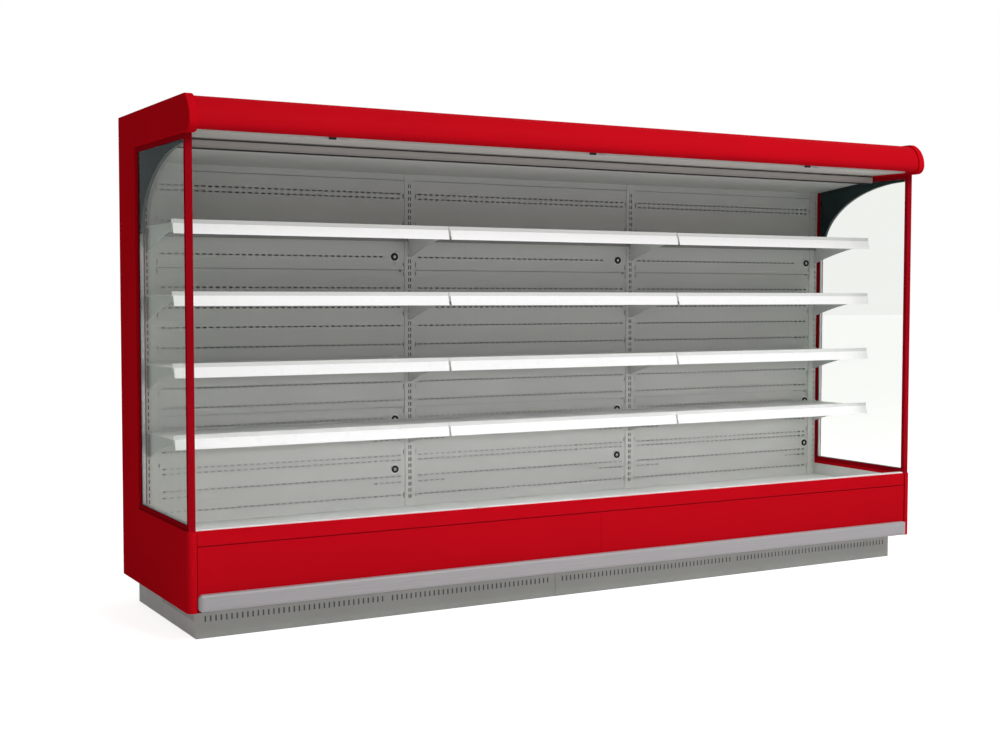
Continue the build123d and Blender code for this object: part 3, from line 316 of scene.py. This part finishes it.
METALS = {
    "fan_aluminium": dict(color=rgb(200, 202, 204), rough=0.35, along=(6, 6, 6), strength=0.1),
    "coil_aluminium": dict(color=rgb(196, 198, 200), rough=0.4, along=(40, 3, 3)),
    "galvanised": dict(color=rgb(170, 173, 176), rough=0.45, along=(3, 3, 3)),
    "foot_steel": dict(color=rgb(160, 162, 164), rough=0.4, along=(8, 8, 8)),
    # dark steel of the base frame: painted shade behind the slots of the kick plates
    "painted_shade_steel": dict(color=rgb(88, 90, 93), rough=0.6, along=(3, 3, 3), metal=0.2),
    "spacer_aluminium": dict(color=rgb(176, 178, 180), rough=0.4, along=(2, 2, 60), metal=0.8),
    "bumper_grey": dict(color=rgb(168, 166, 169), rough=0.42, along=(0.4, 30, 90), metal=0.0, strength=0.35),
}
# nodes whose own look differs from that of their slot; the base frame is dark steel, painted shade seen
# through the slots of the kick plates
OWN_LOOKS = {"base_frame": "painted_shade_steel", "window_frame_left": "frame_red", "window_frame_right": "frame_red"}

mats = {name: paint(name, **look) for name, look in PAINTS.items()}
mats.update({name: plastic(name, **look) for name, look in PLASTICS.items()})
mats.update({name: brushed(name, **look) for name, look in METALS.items()})
mats["glass"] = glass("glass")
mats["blind_cloth"] = woven("blind_cloth")

for entry in frame["record"]["subparts"]:
    shown_slots = frame["nodes"][entry["node"]].data.materials
    shown_slots.clear()
    shown_slots.append(mats[OWN_LOOKS.get(entry["node"], entry["material_slot"])])


# -------------------- mesh helpers
SAME_POINT = 1e-6
SLACK = 1e-7                         # for spans that were rounded
DIGITS = 6


def new_piece(name, verts, faces, slot, body="case", node=None, smooth=False):
    """A mesh that moves with a body and looks like a slot; it stands for the CAD node where one is named."""
    mesh = bpy.data.meshes.new(name)
    mesh.from_pydata(verts, [], faces)
    mesh.update()
    bm = bmesh.new()
    bm.from_mesh(mesh)
    bmesh.ops.remove_doubles(bm, verts=bm.verts, dist=SAME_POINT)
    bmesh.ops.recalc_face_normals(bm, faces=bm.faces)
    bm.to_mesh(mesh)
    bm.free()
    mesh.materials.append(mats[slot])
    if smooth:
        mesh.shade_smooth()
    piece = bpy.data.objects.new(name, mesh)
    bpy.context.collection.objects.link(piece)
    if body:
        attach(piece, body)
    if node:
        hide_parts(node)
    return piece


def grid_sheet(us, vs, solid, place):
    """A closed sheet over the cells that solid(i, j) keeps; place(u, v, side) gives each point of it."""
    verts, index, faces = [], {}, []

    def vert(i, j, side):
        key = (i, j, side)
        if key not in index:
            index[key] = len(verts)
            verts.append(place(us[i], vs[j], side))
        return index[key]

    columns, rows = len(us) - 1, len(vs) - 1
    there = {(i, j) for i in range(columns) for j in range(rows) if solid(i, j)}
    for i, j in sorted(there):
        for side in (0, 1):
            around = ((i, j), (i + 1, j), (i + 1, j + 1), (i, j + 1))
            faces.append([vert(*corner, side) for corner in around])
        rims = {
            (i - 1, j): ((i, j), (i, j + 1)),
            (i + 1, j): ((i + 1, j), (i + 1, j + 1)),
            (i, j - 1): ((i, j), (i + 1, j)),
            (i, j + 1): ((i, j + 1), (i + 1, j + 1)),
        }
        for beside, (a, b) in rims.items():
            if beside not in there:
                faces.append([vert(*a, 0), vert(*b, 0), vert(*b, 1), vert(*a, 1)])
    return verts, faces


def grid_lines(spans, low, high):
    """Sorted grid lines for spans that lie between two ends."""
    ends = [low, high]
    for span in spans:
        ends += span
    return sorted({round(end, DIGITS) for end in ends})


def in_span(spans, a, b):
    """Whether the stretch from a to b lies in one of the spans."""
    return any(low - SLACK <= a and b <= high + SLACK for low, high in spans)


def slot_spans(first, last, pitch, width):
    """Slots of one width at one pitch, centred between two ends."""
    count = int((last - first - width) / pitch) + 1
    start = (first + last - (count - 1) * pitch) / 2
    return [(start + i * pitch - width / 2, start + i * pitch + width / 2) for i in range(count)]


def drawn(name, section, ends, place, slot, body="case", node=None):
    """A closed section drawn out between two ends; place(end, a, b) gives each corner of the section."""
    count = len(section)
    verts = [place(end, a, b) for end in ends for a, b in section]
    faces = [[i, (i + 1) % count, count + (i + 1) % count, count + i] for i in range(count)]
    faces += [list(range(count)), list(range(count, 2 * count))]
    return new_piece(name, verts, faces, slot, body, node)


def strip(name, section, left, right, slot, body="case"):
    """A section of (depth, height) points, drawn out along the case."""
    return drawn(name, section, (left, right), lambda x, depth, height: (x, at(depth), height), slot, body)


def rounded(depth_a, depth_b, low, high, radius, steps=4):
    """The section of a bar with round corners; the radius is in millimetres."""
    points = []
    rise = radius * MM
    corners = ((depth_b - radius, high - rise), (depth_a + radius, high - rise),
               (depth_a + radius, low + rise), (depth_b - radius, low + rise))
    for quarter, (depth, height) in enumerate(corners):
        for i in range(steps + 1):
            angle = math.pi / 2 * (quarter + i / steps)
            points.append((depth + radius * math.cos(angle), height + rise * math.sin(angle)))
    return points


def turned(name, profile, place, slot, body="case", node=None, smooth=False, steps=32):
    """A turned piece with a profile of (radius, reach) points, set out by place(across, upward, reach)."""
    verts, faces = [], []
    count = len(profile)
    for k in range(steps):
        across, upward = math.cos(2 * math.pi * k / steps), math.sin(2 * math.pi * k / steps)
        verts += [place(radius * across, radius * upward, reach) for radius, reach in profile]
        here, beyond = k * count, (k + 1) % steps * count
        for i in range(count):
            after = (i + 1) % count
            on_axis, after_on_axis = profile[i][0] == 0, profile[after][0] == 0
            around = [here + i, beyond + i, beyond + after, here + after]
            if on_axis and after_on_axis:
                continue
            if on_axis:
                around.remove(beyond + i)
            elif after_on_axis:
                around.remove(beyond + after)
            faces.append(around)
    return new_piece(name, verts, faces, slot, body, node, smooth)


# -------------------- rear panels with their air slots
SHEET = 2                            # how thick the sheet metal is
PANEL_BACK, PANEL_LIP = 253, 20      # depth of their rear face, and how far the lip reaches in front of it
PANEL_GAP = 0.0008
PANEL_BOTTOMS = (0.3647, 0.841, 1.486)
PANEL_TOPS = (0.839, 1.484, 1.904)
SLOT_PITCH, SLOT_WIDE, SLOT_TALL, SLOT_MARGIN = 0.030, 0.0178, 0.0062, 0.014
LONG_ROWS = (0.4215, 0.511, 0.588, 0.610, 0.790, 0.873, 0.960, 1.048, 1.136, 1.2245, 1.311, 1.401,
             1.546, 1.664, 1.686, 1.820, 1.842)
SHORT_ROWS = (0.483, 0.684)          # only a few slots, beside the uprights
SHORT_SLOTS = 5
SOCKET_ROWS = (0.790, 1.546)         # these stop short of the lamp socket
SOCKET_CLEAR = 0.07
EDGE_HEIGHTS = (0.421, 0.625, 0.820, 0.937, 1.136, 1.281, 1.470, 1.510, 1.700, 1.831)
EDGE_WIDE, EDGE_TALL, EDGE_INSET, EDGE_MARGIN = 0.004, 0.022, 0.004, 0.006
CORNER_HOLE, CORNER_INSET = 0.008, 0.026
UPRIGHT_HALF = 0.025
SOCKET_RADIUS = 0.018

uprights_low, uprights_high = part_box("shelf_uprights")
outer_upright = uprights_high.x - UPRIGHT_HALF
upright_xs = (-outer_upright, *BAY_JOINTS, outer_upright)
socket_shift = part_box("lamp_sockets")[1].x - SOCKET_RADIUS - BAYS[-1]


def back_panel(name, left, right, bottom, top, folded):
    """One panel of a bay; a folded one has a lip at its foot, under the deck pans."""
    slots = slot_spans(left + SLOT_MARGIN, right - SLOT_MARGIN, SLOT_PITCH, SLOT_WIDE)
    sides = [(left + EDGE_INSET, left + EDGE_INSET + EDGE_WIDE),
             (right - EDGE_INSET - EDGE_WIDE, right - EDGE_INSET)]
    hole_left, hole_right = right - CORNER_INSET, right - CORNER_INSET + CORNER_HOLE
    has_hole = top != PANEL_TOPS[-1]
    socket = (left + right) / 2 + socket_shift
    rows = {z: (z - SLOT_TALL / 2, z + SLOT_TALL / 2) for z in LONG_ROWS + SHORT_ROWS
            if bottom + SLOT_TALL < z < top - SLOT_TALL}
    talls = [(max(z - EDGE_TALL / 2, bottom + EDGE_MARGIN), min(z + EDGE_TALL / 2, top - EDGE_MARGIN))
             for z in EDGE_HEIGHTS if bottom < z < top]
    us = grid_lines([*slots, *sides, (hole_left, hole_right)], left, right)
    vs = grid_lines([*rows.values(), *talls, (top - CORNER_HOLE, top)], bottom, top)
    if folded:
        vs = [bottom - PANEL_LIP * MM] + vs

    def solid(i, j):
        x, z = (us[i] + us[i + 1]) / 2, (vs[j] + vs[j + 1]) / 2
        if z < bottom:
            return True
        in_slot = in_span(slots, us[i], us[i + 1])
        beside_upright = min(x - left, right - x) < SLOT_MARGIN + SHORT_SLOTS * SLOT_PITCH
        at_socket = abs(x - socket) < SOCKET_CLEAR
        for row, (low, high) in rows.items():
            left_out = row in SHORT_ROWS and not beside_upright or row in SOCKET_ROWS and at_socket
            if low < z < high and in_slot and not left_out:
                return False
        if in_span(sides, us[i], us[i + 1]) and in_span(talls, vs[j], vs[j + 1]):
            return False
        return not (has_hole and hole_left < x < hole_right and z > top - CORNER_HOLE)

    def place(u, v, face):
        level = bottom - SHEET * MM / 2 + face * SHEET * MM
        if v < bottom:
            return (u, at(PANEL_BACK + PANEL_LIP), level)
        if v == bottom and folded:
            return (u, at(PANEL_BACK + face * SHEET), level)
        return (u, at(PANEL_BACK + face * SHEET), v)

    new_piece(name, *grid_sheet(us, vs, solid, place), "interior_grey", node="back_panels")


def rear_panels():
    for bay, (before, after) in enumerate(zip(upright_xs, upright_xs[1:]), 1):
        left = before + UPRIGHT_HALF + PANEL_GAP
        right = after - UPRIGHT_HALF - PANEL_GAP
        for level, (bottom, top) in enumerate(zip(PANEL_BOTTOMS, PANEL_TOPS), 1):
            back_panel(f"back_panel_{bay}_{level}", left, right, bottom, top, folded=level == 1)


# -------------------- air intake grille, finely slotted
grille_low, grille_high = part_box("return_air_grille")
GRILLE_SHEET, GRILLE_GAP, GRILLE_MARGIN = 0.002, 0.0023, 0.012
GRILLE_FRONT = 953                   # depth of its front face
GRILLE_FLAT, GRILLE_RUN, GRILLE_FALL = 23, 42, 0.022     # how deep its flat and its slope are, and the fall
GRILLE_TOP = grille_high.z
GRILLE_SLOT, GRILLE_PITCH = 0.0042, 0.008


def on_slope(run):
    """A point of the part of the grille that falls towards the deck."""
    return (GRILLE_FRONT - GRILLE_FLAT - run, GRILLE_TOP - run / GRILLE_RUN * GRILLE_FALL)


GRILLE_PATH = [                      # (depth, height) of the outer face, from the front foot up and over
    (GRILLE_FRONT + 1, GRILLE_TOP - 0.0215),
    (GRILLE_FRONT + 1, GRILLE_TOP - 0.0022),
    (GRILLE_FRONT + 0.3, GRILLE_TOP - 0.0006),
    (GRILLE_FRONT - 1.2, GRILLE_TOP),
    (GRILLE_FRONT - 9, GRILLE_TOP),
    (GRILLE_FRONT - 15, GRILLE_TOP),
    on_slope(0),
    on_slope(8),
    on_slope(19),
    on_slope(22),
    on_slope(39),
    (GRILLE_FRONT - GRILLE_FLAT - GRILLE_RUN - 1, GRILLE_TOP - GRILLE_FALL - 0.001),
    (GRILLE_FRONT - GRILLE_FLAT - GRILLE_RUN - 1, grille_low.z),
]
SLOTTED = ((5, 8), (9, 10))          # from which to which point of that path the slots cut
SHARPEST = 0.5                       # keeps the inner face near the path at sharp folds


def folded_sheet(path, inward):
    """The path in metres, and the same path moved square to itself by the thickness of the sheet."""
    points = [Vector((depth * MM, height)) for depth, height in path]
    moved = []
    for i, point in enumerate(points):
        before = (point - points[i - 1]).normalized() if i else None
        after = (points[i + 1] - point).normalized() if i + 1 < len(points) else None
        along = ((before or after) + (after or before)).normalized()
        reach = inward / max(SHARPEST, (before or after).dot(along))
        moved.append(point + Vector((-along.y, along.x)) * reach)
    return points, moved


def intake_grille(number, centre):
    faces_of_sheet = folded_sheet(GRILLE_PATH, GRILLE_SHEET)
    left, right = centre - (HALF_BAY - GRILLE_GAP), centre + (HALF_BAY - GRILLE_GAP)
    slots = slot_spans(left + GRILLE_MARGIN, right - GRILLE_MARGIN, GRILLE_PITCH, GRILLE_SLOT)
    us = grid_lines(slots, left, right)
    vs = range(len(GRILLE_PATH))

    def solid(i, j):
        return not (any(a <= j < b for a, b in SLOTTED) and in_span(slots, us[i], us[i + 1]))

    def place(u, v, face):
        point = faces_of_sheet[face][v]
        return (u, REAR - point.x, point.y)

    sheet = grid_sheet(us, vs, solid, place)
    new_piece(f"intake_grille_{number}", *sheet, "grille_white", node="return_air_grille")


def intake_grilles():
    for bay, centre in enumerate(BAYS, 1):
        intake_grille(bay, centre)


# -------------------- lip of the band below the canopy, and dark strips of painted shade along its edges
LIP_TALL, LIP_GAP, LIP_CORNER = 0.013, 0.0002, 0.8
# dark strips painted in as the shade of the gaps above and below the band
BAND_SHADE_DEEP, BAND_SHADE_GAP, BAND_SHADE_CORNER = 3.0, 0.2, 0.8
UPPER_SHADE_DROP, UPPER_SHADE_TALL = 0.0066, 0.0052
LOWER_SHADE_DROP, LOWER_SHADE_TALL = 0.002, 0.0066


def band_lip_and_shades():
    low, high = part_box("air_outlet_cover")
    back, front = depth_of(high.y), depth_of(low.y)
    lip = rounded(back, front, low.z - LIP_TALL, low.z - LIP_GAP, LIP_CORNER)
    strip("band_lip", lip, low.x, high.x, "band_grey")
    # painted shade: a dark strip above the band and one below its lip
    edge_shades = {
        "upper": (high.z - UPPER_SHADE_DROP, UPPER_SHADE_TALL),
        "lower": (low.z - LIP_TALL - LOWER_SHADE_DROP, LOWER_SHADE_TALL),
    }
    for where, (foot, tall) in edge_shades.items():
        edge_shade = rounded(front + BAND_SHADE_GAP, front + BAND_SHADE_DEEP, foot, foot + tall, BAND_SHADE_CORNER)
        strip(f"band_shade_{where}", edge_shade, low.x, high.x, "dark_plastic")


# -------------------- dark red strips of painted shade in the seams of the riser, and a dark strip of painted shade at its foot
RISER_GAP, RISER_CORNER = 0.05, 0.3  # of every strip that lies on the riser
# the strips below are painted shade: dark red in the seams, dark at the foot
RISER_SHADE_TALL, RISER_SHADE_WIDE, RISER_SHADE_PROUD, RISER_SHADE_SHORT = 0.0040, 0.0040, 0.7, 0.004
FOOT_SHADE_PROUD, FOOT_SHADE_SHORT, FOOT_SHADE_ABOVE, FOOT_SHADE_BELOW = 0.9, 0.001, 0.0002, 0.0003


def riser_shade_strips():
    low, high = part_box("riser_panels")
    trim_low, trim_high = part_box("riser_trim")
    face = depth_of(low.y)
    back = face + RISER_GAP
    seam = (high.z + trim_low.z) / 2
    along = rounded(back, face + RISER_SHADE_PROUD, seam - RISER_SHADE_TALL / 2, seam + RISER_SHADE_TALL / 2, RISER_CORNER)
    upright = rounded(back, face + RISER_SHADE_PROUD, low.z, trim_high.z - RISER_SHADE_SHORT, RISER_CORNER)
    # dark red strips of painted shade in the seams of the riser
    seam_shades = [
        strip("riser_seam_shade", along, low.x, high.x, "riser_red"),
        strip("joint_seam_shade_left", upright, low.x, low.x + RISER_SHADE_WIDE, "riser_red"),
        strip("joint_seam_shade_right", upright, high.x - RISER_SHADE_WIDE, high.x, "riser_red"),
    ]
    for seam_shade in seam_shades:
        seam_shade.data.materials[0] = mats["seam_shade_red"]
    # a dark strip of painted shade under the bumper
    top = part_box("bumper_rail")[0].z - FOOT_SHADE_BELOW
    foot = rounded(back, face + FOOT_SHADE_PROUD, low.z + FOOT_SHADE_ABOVE, top, RISER_CORNER)
    left, right = low.x + RISER_SHADE_WIDE + FOOT_SHADE_SHORT, high.x - RISER_SHADE_WIDE - FOOT_SHADE_SHORT
    strip("riser_foot_shade", foot, left, right, "dark_plastic")


# -------------------- dark strips of painted shade inside the slotted uprights
UPRIGHT_SHADE_FROM, UPRIGHT_SHADE_SHEET, UPRIGHT_SHADE_HALF, UPRIGHT_SHADE_SHORT, UPRIGHT_SHADE_CORNER = 3.0, 1.2, 0.021, 0.003, 0.3


def upright_slot_shades():
    """Painted shade: dark strips behind the hooks of the brackets, so that the slots look dark."""
    back = depth_of(uprights_high.y) + UPRIGHT_SHADE_FROM
    low, high = uprights_low.z + UPRIGHT_SHADE_SHORT, uprights_high.z - UPRIGHT_SHADE_SHORT
    section = rounded(back, back + UPRIGHT_SHADE_SHEET, low, high, UPRIGHT_SHADE_CORNER)
    for number, middle in enumerate(upright_xs, 1):
        left, right = middle - UPRIGHT_SHADE_HALF, middle + UPRIGHT_SHADE_HALF
        strip(f"upright_slot_shade_{number}", section, left, right, "dark_plastic")


# -------------------- clips over the catches of the blind bars
BAR_TALL = 0.014
CATCH_OFFSET, CATCH_WIDE, CATCH_TALL, CATCH_GAP = 0.047, 0.030, 0.0165, 0.0003
CATCH_DEEP, CATCH_CORNER = 11, 2.5


def blind_catches():
    """Each sits beside the pull loop of its bar."""
    for bay in (1, 2, 3):
        low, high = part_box(f"blind_bar_{bay}")
        middle = (low.x + high.x) / 2 - CATCH_OFFSET
        depth = depth_of((low.y + high.y) / 2)
        back, front = depth - CATCH_DEEP / 2, depth + CATCH_DEEP / 2
        under = high.z - BAR_TALL
        clip = rounded(back, front, under - CATCH_TALL, under - CATCH_GAP, CATCH_CORNER)
        left, right = middle - CATCH_WIDE / 2, middle + CATCH_WIDE / 2
        strip(f"blind_catch_{bay}", clip, left, right, "dark_plastic", f"blind_bar_{bay}")


# -------------------- cover strips over the joints of the roof
SEAM_FOOT, SEAM_TOP, SEAM_TALL, SEAM_EDGE, SEAM_GAP = 0.014, 0.011, 0.0026, 0.0010, 0.0002
SEAM_BACK, SEAM_FRONT = 8, 846


def roof_seams():
    roof_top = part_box("roof_panel")[1].z
    section = [(-SEAM_FOOT, SEAM_GAP), (SEAM_FOOT, SEAM_GAP), (SEAM_FOOT, SEAM_EDGE), (SEAM_TOP, SEAM_TALL),
               (-SEAM_TOP, SEAM_TALL), (-SEAM_FOOT, SEAM_EDGE)]
    for number, joint in enumerate(BAY_JOINTS, 1):
        drawn(f"roof_seam_{number}", section, (at(SEAM_BACK), at(SEAM_FRONT)),
              lambda y, x, z: (joint + x, y, roof_top + z), "insulated_white")


# -------------------- rear wall, with screwed strips over its joints
WALL_CHAMFER = 0.003
COVER_DEEP, COVER_HALF, COVER_SHORT, COVER_GAP = 0.0012, 0.015, 0.004, 0.0001
COVER_EDGE, COVER_CHAMFER, HEAD_TALL = 0.0008, 0.001, 0.0003
SCREWS, SCREW_FIRST, SCREW_STEP, SCREW_RADIUS, SCREW_SIDES = 8, 0.08, 0.247, 0.0045, 12


def rear_screw(name, x, z):
    angles = [2 * math.pi * k / SCREW_SIDES for k in range(SCREW_SIDES)]
    head = [(SCREW_RADIUS * math.cos(angle), SCREW_RADIUS * math.sin(angle)) for angle in angles]

    def place(y, across, upward):
        return (x + across, y, z + upward)

    drawn(name, head, (REAR - HEAD_TALL, REAR), place, "foot_steel")


def rear_wall():
    """A wall as much thinner than the CAD one as its cover strips are thick."""
    low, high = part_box("rear_wall")
    face = REAR - COVER_DEEP
    outline = [(low.x, low.y), (high.x, low.y), (high.x, face - WALL_CHAMFER), (high.x - WALL_CHAMFER, face),
               (low.x + WALL_CHAMFER, face), (low.x, face - WALL_CHAMFER)]

    def raised(z, x, y):
        return (x, y, z)

    drawn("rear_wall_sheet", outline, (low.z, high.z), raised, "insulated_white", node="rear_wall")
    cover_ends = (low.z + COVER_SHORT, high.z - COVER_SHORT)
    for number, joint in enumerate(BAY_JOINTS, 1):
        left, right = joint - COVER_HALF, joint + COVER_HALF
        cover = [(left, face + COVER_GAP), (right, face + COVER_GAP), (right, REAR - COVER_EDGE),
                 (right - COVER_CHAMFER, REAR - HEAD_TALL), (left + COVER_CHAMFER, REAR - HEAD_TALL),
                 (left, REAR - COVER_EDGE)]
        drawn(f"rear_cover_{number}", cover, cover_ends, raised, "galvanised")
        for row in range(SCREWS):
            rear_screw(f"rear_screw_{number}_{row + 1}", joint, low.z + SCREW_FIRST + row * SCREW_STEP)


# -------------------- rear drop of every tray, with a darker grey strip of painted shade along its edge
TRAY_FOLD, TRAY_DROP, TRAY_GAP, TRAY_SHORT = 0.017, 0.0375, 0.0003, 0.012
DROP_FROM, DROP_TO = 0.2, 1.8        # depths in front of the rear edge of the tray
# the darker grey strip is painted shade under the rear of the tray
TRAY_SHADE_FROM, TRAY_SHADE_DEEP, TRAY_SHADE_CORNER = 2.0, 5.0, 1.5
TRAY_SHADE_TALL, TRAY_SHADE_BELOW = 0.017, 0.001
SHELF_LEVELS = (1, 2, 3, 4)


def tray_drops():
    for level in SHELF_LEVELS:
        low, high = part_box(f"shelf_trays_{level}")
        rear = depth_of(high.y)
        under = high.z - TRAY_FOLD - SHEET * MM
        edge = under - TRAY_DROP
        half = (high.x - BAYS[-1]) - TRAY_SHORT
        drop = [(rear + DROP_FROM, under - TRAY_GAP), (rear + DROP_FROM, edge),
                (rear + DROP_TO, edge), (rear + DROP_TO, under - TRAY_GAP)]
        drop_shade_back = rear + TRAY_SHADE_FROM
        drop_shade = rounded(drop_shade_back, drop_shade_back + TRAY_SHADE_DEEP, edge - TRAY_SHADE_BELOW, edge + TRAY_SHADE_TALL, TRAY_SHADE_CORNER)
        for bay, centre in enumerate(BAYS, 1):
            strip(f"tray_drop_{bay}_{level}", drop, centre - half, centre + half, "shelf_grey")
            # painted shade: a darker grey strip under the rear of the tray
            strip(f"tray_shade_{bay}_{level}", drop_shade, centre - half, centre + half, "vane_plastic")


# -------------------- lamp sockets: profiles are (radius, reach)
SOCKET_HEIGHTS = (0.547, 0.784, 1.060, 1.367, 1.547)
SOCKET_GAP = 2.05                    # from the back of the panels to the foot of the socket
WASHER = [(0.0175, 0.0), (0.0250, 0.0), (0.0250, 0.0012), (0.0238, 0.0022), (0.0175, 0.0024)]
RING = [(0.0078, 0.0), (0.0173, 0.0), (0.0173, 0.0070), (0.0160, 0.0094), (0.0128, 0.0100), (0.0098, 0.0092),
        (0.0078, 0.0065)]
PLUG = [(0, 0.0), (0.0072, 0.0), (0.0072, 0.0050), (0.0056, 0.0068), (0, 0.0072)]


def lamp_sockets():
    foot = at(PANEL_BACK + SOCKET_GAP)
    for bay, centre in enumerate(BAYS, 1):
        for level, height in enumerate(SOCKET_HEIGHTS, 1):

            def place(across, upward, reach):
                return (centre + socket_shift + across, foot - reach, height + upward)

            tag = f"{bay}_{level}"
            turned(f"socket_washer_{tag}", WASHER, place, "lamp_white", smooth=True)
            turned(f"socket_ring_{tag}", RING, place, "dark_plastic", node="lamp_sockets", smooth=True)
            turned(f"socket_plug_{tag}", PLUG, place, "lamp_white", smooth=True)


# -------------------- blind cloth: wound on the roll, down to the bar
CLOTH_WIDE, CLOTH_LONG, CLOTH_THICK = 1.238, 1.60, 0.00025
CLOTH_INSET, CLOTH_COLUMNS = 0.004, 10
ROLL_DEPTH = 934
TURNS, TURN_STEPS, CORE_RADIUS, WOUND_RADIUS = 13, 20, 0.0150, 0.0236
BELOW_ROLL = (0.006, 0.014)
BLEND_TOP, BLEND_END = 0.014, 0.001  # heights above the bar between which the cloth is paid out
BLEND_ROWS = 40
TUBE_END = [(0, 0), (0.004, 0), (0.004, 0.0032), (0.0138, 0.0034), (0.0146, 0.005)]      # (radius, reach)


def cloth_run(roll_y, roll_z, bar_top):
    """(y, z) points of the cloth from the core of the roll to the bar; it leaves the roll at the front."""
    run = []
    steps = TURNS * TURN_STEPS
    for i in range(steps + 1):
        radius = CORE_RADIUS + (WOUND_RADIUS - CORE_RADIUS) * i / steps
        angle = 2 * math.pi * (i - steps) / TURN_STEPS - math.pi
        run.append((roll_y + radius * math.cos(angle), roll_z + radius * math.sin(angle)))
    web_y = run[-1][0]
    top, end = bar_top + BLEND_TOP, bar_top + BLEND_END
    heights = [roll_z - below for below in BELOW_ROLL]
    heights += [top + (end - top) * i / BLEND_ROWS for i in range(BLEND_ROWS + 1)]
    heights.append(bar_top)
    return run + [(web_y, height) for height in heights]


def blind_cloth(bay, middle, half, run):
    offsets = []
    for i in range(len(run)):
        before, after = Vector(run[max(i - 1, 0)]), Vector(run[min(i + 1, len(run) - 1)])
        along = (after - before).normalized()
        offsets.append(Vector((-along.y, along.x)) * CLOTH_THICK)

    def place(x, row, side):
        y, z = run[row]
        return (x, y + offsets[row].x * side, z + offsets[row].y * side)

    us = [middle - half + 2 * half * column / CLOTH_COLUMNS for column in range(CLOTH_COLUMNS + 1)]
    sheet = grid_sheet(us, range(len(run)), lambda i, j: True, place)
    piece = new_piece(f"blind_cloth_{bay}", *sheet, "blind_cloth", body=None)
    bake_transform(piece)


def blinds():
    for bay in (1, 2, 3):
        low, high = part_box(f"blind_roll_{bay}")
        bar_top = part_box(f"blind_bar_{bay}")[1].z
        roll_y, roll_z = at(ROLL_DEPTH), (low.z + high.z) / 2
        half = (high.x - low.x) / 2 - CLOTH_INSET
        blind_cloth(bay, (low.x + high.x) / 2, half, cloth_run(roll_y, roll_z, bar_top))
        tube = [(radius, low.x + reach) for radius, reach in TUBE_END]
        tube += [(radius, high.x - reach) for radius, reach in reversed(TUBE_END)]
        roll = f"blind_roll_{bay}"
        turned(f"blind_tube_{bay}", tube, lambda across, upward, x: (x, roll_y + across, roll_z + upward),
               "galvanised", roll, roll)


rear_panels()
intake_grilles()
band_lip_and_shades()
riser_shade_strips()
upright_slot_shades()
blind_catches()
roof_seams()
rear_wall()
tray_drops()
lamp_sockets()
blinds()


# -------------------- floor and world
FLOOR_HALF = 60
FLOOR_COLOR = (0.9, 0.9, 0.9, 1)
FLOOR_ROUGH = 0.9
FLOOR_LIFT = 0.74                    # makes the floor white in the picture, and its shadow pale
WORLD_LIGHT = 0.31
WHITE = (1, 1, 1, 1)


def background_rays(tree):
    """1 for the rays that show the background: seen straight, in a gloss or through glass."""
    path = add(tree, "ShaderNodeLightPath").outputs
    reflected = worked_out(tree, "MAXIMUM", path["Is Glossy Ray"], path["Is Transmission Ray"])
    return worked_out(tree, "MAXIMUM", path["Is Camera Ray"], reflected)


def outside(tree, low, high):
    """1 on the open floor, 0 under the case."""
    place = add(tree, "ShaderNodeSeparateXYZ")
    tree.links.new(add(tree, "ShaderNodeNewGeometry").outputs["Position"], place.inputs["Vector"])
    beyond = []
    for axis, middle, half in (("X", 0.0, high.x), ("Y", (low.y + high.y) / 2, (high.y - low.y) / 2)):
        distance = worked_out(tree, "ABSOLUTE", worked_out(tree, "SUBTRACT", place.outputs[axis], middle))
        beyond.append(worked_out(tree, "GREATER_THAN", distance, half))
    return worked_out(tree, "MAXIMUM", *beyond)


def floor():
    material, tree, shader = graph("floor")
    shader.inputs["Base Color"].default_value = FLOOR_COLOR
    shader.inputs["Roughness"].default_value = FLOOR_ROUGH
    shader.inputs["Emission Color"].default_value = WHITE
    lift = worked_out(tree, "MULTIPLY", background_rays(tree), FLOOR_LIFT)
    shown = worked_out(tree, "MULTIPLY", lift, outside(tree, *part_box("kick_plates")))
    tree.links.new(shown, shader.inputs["Emission Strength"])
    corners = [(x * FLOOR_HALF, y * FLOOR_HALF, 0) for x, y in ((-1, -1), (1, -1), (1, 1), (-1, 1))]
    mesh = bpy.data.meshes.new("floor")
    mesh.from_pydata(corners, [], [(0, 1, 2, 3)])
    mesh.materials.append(material)
    sheet = bpy.data.objects.new("floor", mesh)
    bpy.context.collection.objects.link(sheet)


def surroundings():
    world = bpy.data.worlds.new("world")
    bpy.context.scene.world = world
    world.use_nodes = True
    tree = world.node_tree
    background = tree.nodes["Background"]
    background.inputs["Color"].default_value = WHITE
    level = add(tree, "ShaderNodeMapRange", i_To_Min=WORLD_LIGHT, i_To_Max=1.0)
    tree.links.new(background_rays(tree), level.inputs["Value"])
    tree.links.new(level.outputs["Result"], background.inputs["Strength"])


floor()
surroundings()


# -------------------- lamps
def lamp(name, place, target, size, watts, spread=180):
    """A rectangular lamp aimed at a point; its spread is in degrees."""
    data = bpy.data.lights.new(name, "AREA")
    data.shape = "RECTANGLE"
    data.size, data.size_y = size
    data.energy = watts
    data.spread = math.radians(spread)
    light = bpy.data.objects.new(name, data)
    bpy.context.collection.objects.link(light)
    light.location = place
    light.rotation_euler = (Vector(target) - Vector(place)).to_track_quat("-Z", "Y").to_euler()


lamp("key", place=(1.6, -5.4, 6.2), target=(0.0, -0.4, 0.9), size=(5.0, 3.0), watts=380)
lamp("low_fill", place=(0.9, -5.2, 1.5), target=(0.0, 0.2, 0.64), size=(5.0, 0.3), watts=1.9, spread=12)
